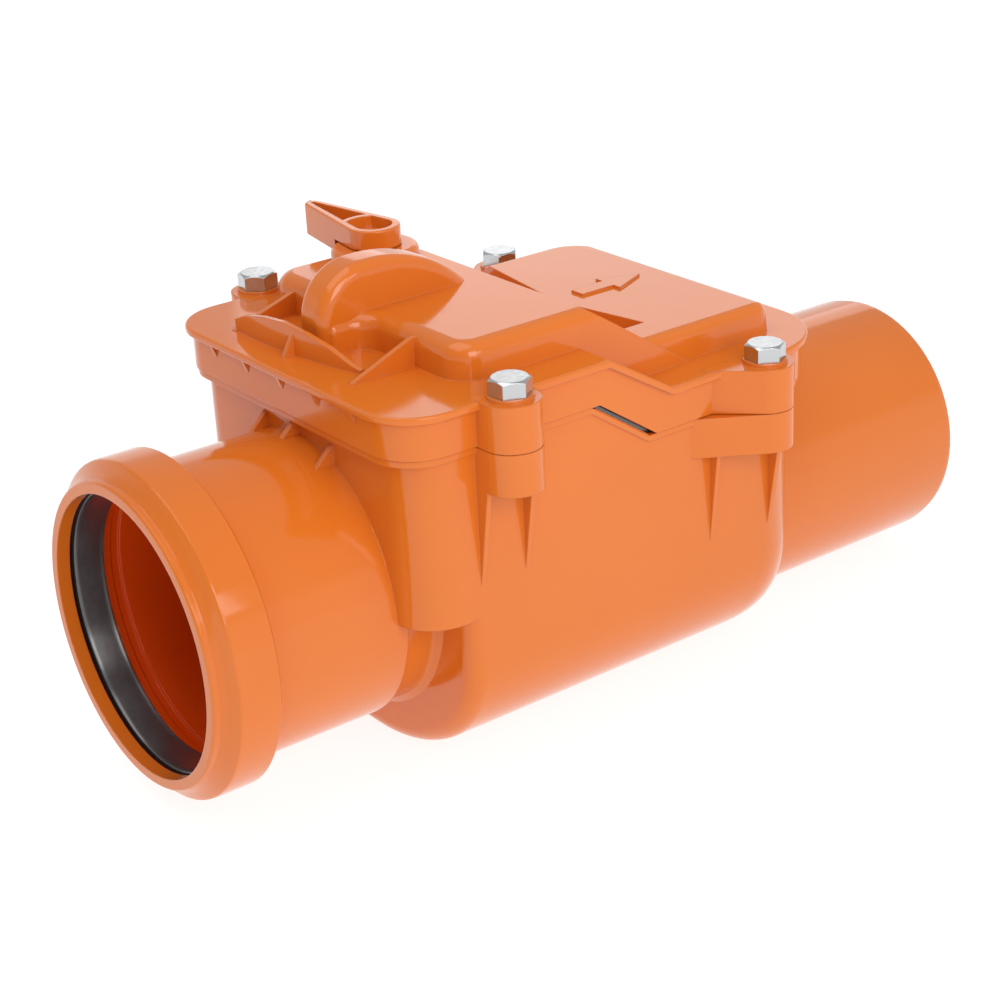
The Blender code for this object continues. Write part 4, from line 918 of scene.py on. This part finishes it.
def hexagon(name, flats, x, y, low, high, turn=0.0):
    bpy.ops.mesh.primitive_cylinder_add(vertices=6, radius=flats / math.sqrt(3.0), depth=high - low)
    obj = bpy.context.object
    obj.name = name
    obj.location = (x, y, (low + high) / 2)
    obj.rotation_euler = (0.0, 0.0, turn)
    return baked(obj)


def deck_levels(base, top, edge, draft):
    """Heights and pulls of the rings of a drafted wall with a rounded top edge."""
    levels = [(base, 0.0), (top - edge, draft)]
    steps = 4 * FINE
    for i in range(1, steps + 1):
        a = math.radians(90.0 * i / steps)
        levels.append((top - edge + edge * math.sin(a), draft + edge * (1.0 - math.cos(a))))
    return levels


def stacked(name, rings):
    """A closed solid through flat outlines of equal count, each a height and its points."""
    shape = bmesh.new()
    made = [[shape.verts.new((x, y, z)) for x, y in ring] for z, ring in rings]
    for a, b in zip(made[:-1], made[1:]):
        for i in range(len(a)):
            j = (i + 1) % len(a)
            shape.faces.new((a[i], a[j], b[j], b[i]))
    shape.faces.new(made[0][::-1])
    shape.faces.new(made[-1])
    bmesh.ops.recalc_face_normals(shape, faces=shape.faces)
    mesh = bpy.data.meshes.new(name)
    shape.to_mesh(mesh)
    shape.free()
    return baked(link(bpy.data.objects.new(name, mesh)))


def low_outline(pull):
    x0 = LOW_DECK_START + pull
    x1 = DECK_END - pull
    half = DECK_HALF - LOW_DECK_DROP - pull
    front = max(DECK_CORNER - pull, OVER)
    near = max(DECK_BACK_CORNER - pull, OVER)
    far = max(DECK_FAR_CORNER - pull, OVER)
    points = arc(x1 - near, -half + near, near, -90, 0, CORNER_STEPS)
    points += arc(x1 - far, half - far, far, 0, 90, CORNER_STEPS)
    points += arc(x0 + front, half - front, front, 90, 180, CORNER_STEPS)
    points += arc(x0 + front, -half + front, front, 180, 270, CORNER_STEPS)
    return points


def high_outline(pull, ledge):
    """The high platform in plan, wider on its far side, with a ledge beside the dome when asked."""
    x0 = DECK_START + pull
    near = -DECK_HALF + pull
    far = DECK_HALF + DECK_FAR - pull
    corner = max(DECK_CORNER - pull, OVER)
    points = [(DECK_JOIN - pull, near), (DECK_JOIN - pull, far)]
    points += arc(x0 + corner, far - corner, corner, 90, 180, 5)
    if ledge:
        inner = HORN_Y + DOME_HALF / 3
        front = LEDGE_X + pull
        small = max(LEDGE_CORNER - pull, OVER)
        side = DOME_Y0 - LEDGE
        points += [(x0, inner), (front, inner)]
        points += arc(front + small, side + pull + small, small, 180, 270, 3)
        points += arc(DECK_START - LEDGE_BEND, side - LEDGE_BEND, LEDGE_BEND + pull, 90, 0, 6)
    points += arc(x0 + corner, near + corner, corner, 180, 270, 5)
    return points


def ridge_cut(name, shift):
    """The room beyond the slope that joins the two platforms."""
    slope = (DECK_TOP - LOW_DECK_TOP) / (CHANNEL_START - RIDGE_X)
    length = math.hypot(1.0, slope)
    x0 = RIDGE_X - 0.03 - shift * slope / length
    z0 = DECK_TOP + 0.03 * slope - shift / length
    x1 = RIDGE_X + 0.12 - shift * slope / length
    z1 = DECK_TOP - 0.12 * slope - shift / length
    return outline(name, [(x0, z0), (x1, z1), (x1 + 0.05, z1), (x1 + 0.05, z0)], -0.12, 0.12, "XZ")


def decks(name, wall, base):
    """Both platforms together, moved in by a wall thickness for their hollow."""
    rings = []
    for z, pull in deck_levels(base, DECK_TOP - wall, DECK_ROUND - wall / 2, DECK_DRAFT):
        rings.append((z, high_outline(wall + pull, wall == 0.0)))
    high = cut(stacked(name, rings), ridge_cut("ridge", wall))
    rings = []
    top = LOW_DECK_TOP - wall
    for z, pull in deck_levels(base - WALL / 6, top, LOW_DECK_ROUND - wall / 2, DECK_DRAFT):
        rings.append((z, low_outline(wall + pull)))
    low = stacked("low_deck", rings)
    end = DECK_END - DECK_DRAFT / 2 - wall
    back = LOW_DECK_BACK_ROUND - wall / 2
    side_view = [(LOW_DECK_START - OVER, top + OVER), (LOW_DECK_START - OVER, base - OVER)]
    side_view += [(DECK_END + OVER, base - OVER), (DECK_END + OVER, top - 2 * back)]
    side_view += arc(end - back, top - back, back, 0, 85, 5) + [(end - back - OVER, top + OVER)]
    low = meet(low, outline("low_deck_side", side_view, -BODY_HALF, BODY_HALF, "XZ"))
    return join(high, low)


def dome_outline(wall, base):
    """The D shape of the dome seen from the side."""
    centre_x = DOME_X0 + DOME_FRONT_R
    points = [(DOME_X0 + wall, base)]
    points += arc(centre_x, DOME_TOP - DOME_FRONT_R, DOME_FRONT_R - wall, 180, 90, 8)
    points += arc(DOME_CREST_X, DOME_TOP - DOME_BACK_R, DOME_BACK_R - wall, 90, DOME_BACK_ANGLE, 8)
    points += [(points[-1][0], base)]
    return points


def cover():
    plate = outline("plate", rim_outline(LIP_OUT + SKIRT_OUT), 0.0, 0.13)
    plate = meet(plate, band("lip_band", plate_line(-LIP), plate_line(0.0)))
    plate = softened(plate, LIP_EDGE, 4)
    skirt = outline("skirt", rim_outline(SKIRT_OUT), 0.0, 0.13)
    skirt = meet(skirt, band("skirt_band", skirt_line(GAP / 2), plate_line(-LIP / 2)))
    body = join(plate, skirt)
    for number, x, side, chamfer, drop in boss_sites():
        low = PARTING - drop + GAP / 2
        high = PLATE_TOP - drop
        boss = outline("boss", boss_outline(x, side, COVER_WEB if chamfer else 0.0), low, high + GAP / 2)
        body = join(body, boss)
        collet = rod("collet", COLLET_R, (x, side * BOLT_Y, high - OVER), (x, side * BOLT_Y, high + COLLET), 20)
        body = join(body, collet)
    raised = decks("decks", 0.0, PLATE_TOP - STEP - PLATE)
    raised = meet(raised, band("over_plate", plate_line(-PLATE / 2), level_line(0.15)))
    body = join(body, raised)
    dome = outline("dome", dome_outline(0.0, PLATE_TOP - PLATE - DOME_EDGE), DOME_Y0, DOME_Y1, "XZ")
    dome = softened(dome, DOME_EDGE, 8, 50.0)
    body = join(body, dome)
    high = DECK_TOP + TURRET
    post = [(0.0, high)] + arc(TURRET_R - TURRET_EDGE, high - TURRET_EDGE, TURRET_EDGE, 90, 0, 3)
    post += [(TURRET_R, PLATE_TOP - PLATE / 2), (0.0, PLATE_TOP - PLATE / 2)]
    body = join(body, turned("turret", post, upright(LEVER_X, LEVER_Y), 40))
    room = outline("skirt_room", rim_outline(SKIRT_OUT - SKIRT), 0.0, 0.13)
    room = meet(room, band("room_band", skirt_line(SKIRT_FOOT), plate_line(-PLATE)))
    body = cut(body, room)
    foot = outline("foot_room", body_outline(WALL), 0.0, 0.13)
    foot = meet(foot, band("foot_band", level_line(0.01), skirt_line(SKIRT_FOOT + OVER)))
    body = cut(body, foot)
    deck_room = decks("deck_room", PLATE, PLATE_TOP - STEP - 2 * PLATE)
    body = cut(body, deck_room)
    dome_room = outline("dome_room", dome_outline(DOME_WALL, PLATE_TOP - 2 * PLATE),
                        DOME_Y0 + DOME_WALL, DOME_Y1 - DOME_WALL, "XZ")
    body = cut(body, dome_room)
    sleeve = rod("sleeve", SLEEVE_R, (LEVER_X, LEVER_Y, SLEEVE_END), (LEVER_X, LEVER_Y, DECK_TOP - PLATE / 2), 24)
    body = join(body, sleeve)
    side = CHANNEL_HALF + PLATE
    floor = box("channel_floor", CHANNEL_START - 1.2 * PLATE, CHANNEL_FAR_END + PLATE, -side, CHANNEL_FAR - 0.0045,
                LOW_DECK_TOP - CHANNEL_DEPTH - PLATE, LOW_DECK_TOP - PLATE / 2)
    body = join(body, floor)
    grade = (DECK_TOP - LOW_DECK_TOP) / (CHANNEL_START - RIDGE_X)
    foot_x = CHANNEL_START + CHANNEL_DEPTH / grade
    groove = [(CHANNEL_START - 0.004 / grade, LOW_DECK_TOP + 0.004), (foot_x, LOW_DECK_TOP - CHANNEL_DEPTH),
              (CHANNEL_FAR_END, LOW_DECK_TOP - CHANNEL_DEPTH), (CHANNEL_FAR_END, LOW_DECK_TOP + 0.004)]
    groove = outline("channel", groove, -side, CHANNEL_FAR, "XZ")
    plan = [(RIDGE_X, -CHANNEL_HALF), (CHANNEL_END, -CHANNEL_HALF), (CHANNEL_MIDDLE, 0.0),
            (CHANNEL_FAR_END, CHANNEL_FAR), (RIDGE_X, CHANNEL_FAR)]
    body = cut(body, meet(groove, outline("channel_plan", plan, 0.05, 0.11)))
    bore = rod("bore", SHAFT_R + RUN, (LEVER_X, LEVER_Y, 0.05), (LEVER_X, LEVER_Y, 0.12), 32)
    body = cut(body, bore)
    for number, x, side, chamfer, drop in boss_sites():
        body = cut(body, rod("hole", BOLT_R + GAP, (x, side * BOLT_Y, 0.02), (x, side * BOLT_Y, 0.12), SMALL))
    for y, rise in zip(WEB_Y, WEB_RISE):
        web = [(DECK_START + 0.003, PLATE_TOP - OVER), (WEB_TIP, PLATE_TOP - OVER), (WEB_TIP, PLATE_TOP + GAP),
               (DECK_START + 0.0005, PLATE_TOP + rise), (DECK_START + 0.003, PLATE_TOP + rise)]
        body = join(body, outline("web", web, y - WEB / 2, y + WEB / 2, "XZ"))
    body = join(body, crest())
    under = PLATE_TOP - LIP
    face = RIM_FRONT - SKIRT_OUT
    for y in TINY_Y:
        tip = face - LIP_OUT + 0.0008
        tiny = [(face + 0.0008, under + 0.0006), (face + 0.0008, under - TINY_DROP),
                (face - 0.0002, under - TINY_DROP), (tip, under - 0.0002), (tip, under + 0.0006)]
        body = join(body, outline("tiny", tiny, y - TINY_HALF, y + TINY_HALF, "XZ"))
    neck = ARROW_X + ARROW_SHAFT
    arrow = [(ARROW_X, ARROW_Y - ARROW_HALF), (neck, ARROW_Y - ARROW_HALF), (neck, ARROW_Y - ARROW_BARB),
             (neck + ARROW_HEAD, ARROW_Y), (neck, ARROW_Y + ARROW_BARB), (neck, ARROW_Y + ARROW_HALF),
             (ARROW_X, ARROW_Y + ARROW_HALF)]
    body = join(body, outline("arrow", arrow, LOW_DECK_TOP - OVER, LOW_DECK_TOP + ARROW_HEIGHT))
    return dressed(body, "cover", "pvc_orange")


def crest():
    """The thin arched wall in front of the dome, with its small rib."""
    low = PLATE_TOP - OVER
    front = Vector((CREST_X + CREST_R, CREST_Y, 0.0))
    start = 180.0 - math.degrees(math.asin((WEB_Y[0] - CREST_Y) / CREST_R))
    end = 180.0 + math.degrees(math.asin((CREST_Y - WEB_Y[1] - 0.0060) / CREST_R))
    plan = arc(front.x, front.y, CREST_R, start, end, 10) + arc(front.x, front.y, CREST_R - WEB, end, start, 10)
    wall = outline("crest", plan, low, PLATE_TOP + 0.02)
    points = [(y, PLATE_TOP + rise) for y, rise in CREST_PROFILE]
    points = [(0.06, low)] + points + [(-0.06, low)]
    wall = meet(wall, outline("crest_top", points, 0.07, 0.12, "YZ"))
    top = PLATE_TOP + CREST_RIB_RISE
    rib = [(CREST_X + WEB + 0.0006, low), (CREST_X - 0.0030, low), (CREST_X - 0.0030, PLATE_TOP + 0.0004),
           (CREST_X + 0.0016, top), (CREST_X + WEB + 0.0006, top)]
    return join(wall, outline("crest_rib", rib, CREST_RIB_Y - WEB / 2, CREST_RIB_Y + WEB / 2, "XZ"))


def bolt(number, x, side, drop):
    y = side * BOLT_Y
    seat = PLATE_TOP - drop + COLLET + 0.00005
    head = hexagon("head", HEAD_FLATS, x, y, seat, seat + HEAD_HEIGHT, math.radians(HEAD_TURNS[number - 1]))
    corner = HEAD_FLATS / math.sqrt(3.0)
    cap = [(HEAD_FLATS / 2 * 0.93, HEAD_HEIGHT), (0.0, HEAD_HEIGHT), (0.0, -0.0010), (corner + 0.0010, -0.0010),
           (corner + 0.0010, HEAD_HEIGHT - 0.0016)]
    head = meet(head, turned("cap", cap, upright(x, y, seat), 24))
    shank = rod("shank", BOLT_R, (x, y, seat + 0.0010), (x, y, seat - BOLT_LENGTH), SMALL)
    return dressed(join(head, shank), "cover_bolt_%d" % number, "zinc_steel")


def socket_seal():
    start = SEAL_START
    end = SEAL_START + SEAL_LENGTH
    outer = SEAL_GROOVE_R - GAP
    profile = [
        (outer, start + GAP),
        (SOCKET_R + 0.0012, start + GAP),
        (SOCKET_R - 0.0004, start + 0.0006),
        (SOCKET_R - 0.0010, start + 0.0020),
        (SEAL_LIP_R + 0.0006, end + 0.0005),
        (SEAL_LIP_R, end + 0.0022),
        (SEAL_LIP_R + 0.0010, end + 0.0022),
        (SOCKET_R - 0.0011, start + 0.0060),
        (SOCKET_R + 0.0006, start + 0.0066),
        (SOCKET_R + 0.0022, end - GAP),
        (outer, end - GAP),
    ]
    return dressed(turned("seal", profile, along_x()), "socket_seal", "rubber_black")


def lever_outline(inset=0.0):
    """A teardrop: a round big end on the shaft and a small round tip."""
    big = LEVER_R - inset
    small = max(LEVER_TIP_R - inset, 0.0008)
    lean = math.degrees(math.asin((LEVER_R - LEVER_TIP_R) / LEVER_REACH))
    points = arc(0.0, 0.0, big, 180 - lean, 360 + lean, 16)
    points += arc(0.0, LEVER_REACH, small, lean, 180 - lean, 5)
    return points


def lever():
    """The paddle hangs beside its collar, and its pockets are open above."""
    low = DECK_TOP + TURRET + LEVER_RISE
    high = low + LEVER_HEIGHT
    paddle = outline("paddle", lever_outline(), low - LEVER_DROP, high)
    paddle = softened(paddle, LEVER_EDGE, 4, 60.0)
    paddle = cut(paddle, rod("collar", TURRET_R + RUN + GAP, (0, 0, low - 2 * LEVER_DROP), (0, 0, low), 40))
    pocket = outline("pocket", lever_outline(LEVER_WALL), low + LEVER_WALL, high + OVER)
    bend = LEVER_R + LEVER_WALL / 3
    keep = [(bend, 0.0), (bend, 0.2), (bend + 0.8 * LEVER_WALL, 0.2), (bend + 0.8 * LEVER_WALL, 0.0)]
    paddle = cut(paddle, cut(pocket, turned("keep", keep, upright(), 32)))
    shaft = rod("shaft", SHAFT_R, (0, 0, FINGER_Z + FINGER_T + RUN), (0, 0, low + OVER), 24)
    square = box("square", -SQUARE, SQUARE, -SQUARE, SQUARE, FINGER_Z + OVER, FINGER_Z + FINGER_T + 2 * OVER)
    paddle = join(paddle, shaft, square)
    inner = SHAFT_R + RUN - 2 * GAP - ORING_T
    for height in oring_heights():
        half = ORING_T / 2 + GAP
        groove = [(SHAFT_R + OVER, height - half), (SHAFT_R + OVER, height + half), (inner, height + half),
                  (inner, height - half)]
        paddle = cut(paddle, turned("groove", groove, upright(), 24))
    pilot = rod("pilot", FINGER_SCREW_R + GAP, (0, 0, FINGER_Z - OVER), (0, 0, FINGER_Z + 0.0130), 12)
    paddle = cut(paddle, pilot)
    paddle.matrix_world = upright(LEVER_X, LEVER_Y)
    return dressed(baked(paddle), "lever", "pvc_orange")


def oring_heights():
    first = SLEEVE_END + 0.0045
    return [first, first + 0.0065]


# Floor and light

def make_stage():
    mesh = bpy.data.meshes.new("floor")
    shape = bmesh.new()
    bmesh.ops.create_grid(shape, x_segments=1, y_segments=1, size=30.0)
    shape.to_mesh(mesh)
    shape.free()
    floor = bpy.data.objects.new("floor", mesh)
    bpy.context.scene.collection.objects.link(floor)
    nodes = Nodes("pale_floor")
    nodes.set("Base Color", (0.30, 0.30, 0.30, 1.0))
    nodes.set("Roughness", 0.9)
    nodes.set("Specular IOR Level", 0.0)
    nodes.set("Emission Color", (1.0, 1.0, 1.0, 1.0))
    nodes.set("Emission Strength", 0.85)
    mesh.materials.append(nodes.material)


def area_light(name, where, aim, size, power, tint=(1.0, 1.0, 1.0)):
    data = bpy.data.lights.new(name, "AREA")
    data.shape = "RECTANGLE"
    data.size = size[0]
    data.size_y = size[1]
    data.energy = power
    data.color = tint
    lamp = bpy.data.objects.new(name, data)
    lamp.location = where
    lamp.rotation_euler = (Vector(aim) - Vector(where)).to_track_quat("-Z", "Y").to_euler()
    bpy.context.scene.collection.objects.link(lamp)


def make_light():
    """A bright band round the horizon, a softer sky, and four soft boxes."""
    world = bpy.data.worlds.new("studio")
    world.use_nodes = True
    tree = world.node_tree
    background = tree.nodes["Background"]
    background.inputs["Color"].default_value = (1.0, 1.0, 1.0, 1.0)
    way = tree.nodes.new("ShaderNodeTexCoord")
    parts = tree.nodes.new("ShaderNodeSeparateXYZ")
    tree.links.new(way.outputs["Generated"], parts.inputs["Vector"])
    levels = []
    for axis, low, high, bottom, top in (("Z", 0.20, 0.34, 1.0, 0.60), ("X", -0.95, -0.20, 0.50, 1.0)):
        fade = tree.nodes.new("ShaderNodeMapRange")
        tree.links.new(parts.outputs[axis], fade.inputs["Value"])
        for key, value in (("From Min", low), ("From Max", high), ("To Min", bottom), ("To Max", top)):
            fade.inputs[key].default_value = value
        levels.append(fade.outputs["Result"])
    both = tree.nodes.new("ShaderNodeMath")
    both.operation = "MULTIPLY"
    tree.links.new(levels[0], both.inputs[0])
    tree.links.new(levels[1], both.inputs[1])
    tree.links.new(both.outputs["Value"], background.inputs["Strength"])
    bpy.context.scene.world = world
    area_light("top", (-0.40, 0.05, 1.15), (-0.05, 0.0, 0.1), (1.0, 0.9), 4.0)
    area_light("right", (0.25, -1.30, 0.78), (0.0, 0.0, 0.08), (0.36, 0.36), 1.15)
    area_light("left", (-0.32, -1.15, 0.74), (-0.12, 0.0, 0.08), (0.66, 0.66), 5.6)
    area_light("behind", (1.030, 1.161, 0.659), (0.05, 0.0, 0.155), (0.90, 0.42), 1.05)


make_camera()
dress_nodes()
housing()
cover()
lever()
socket_seal()
for number, x, side, chamfer, drop in boss_sites():
    bolt(number, x, side, drop)
make_stage()
make_light()
bpy.context.scene.view_settings.view_transform = "Standard"

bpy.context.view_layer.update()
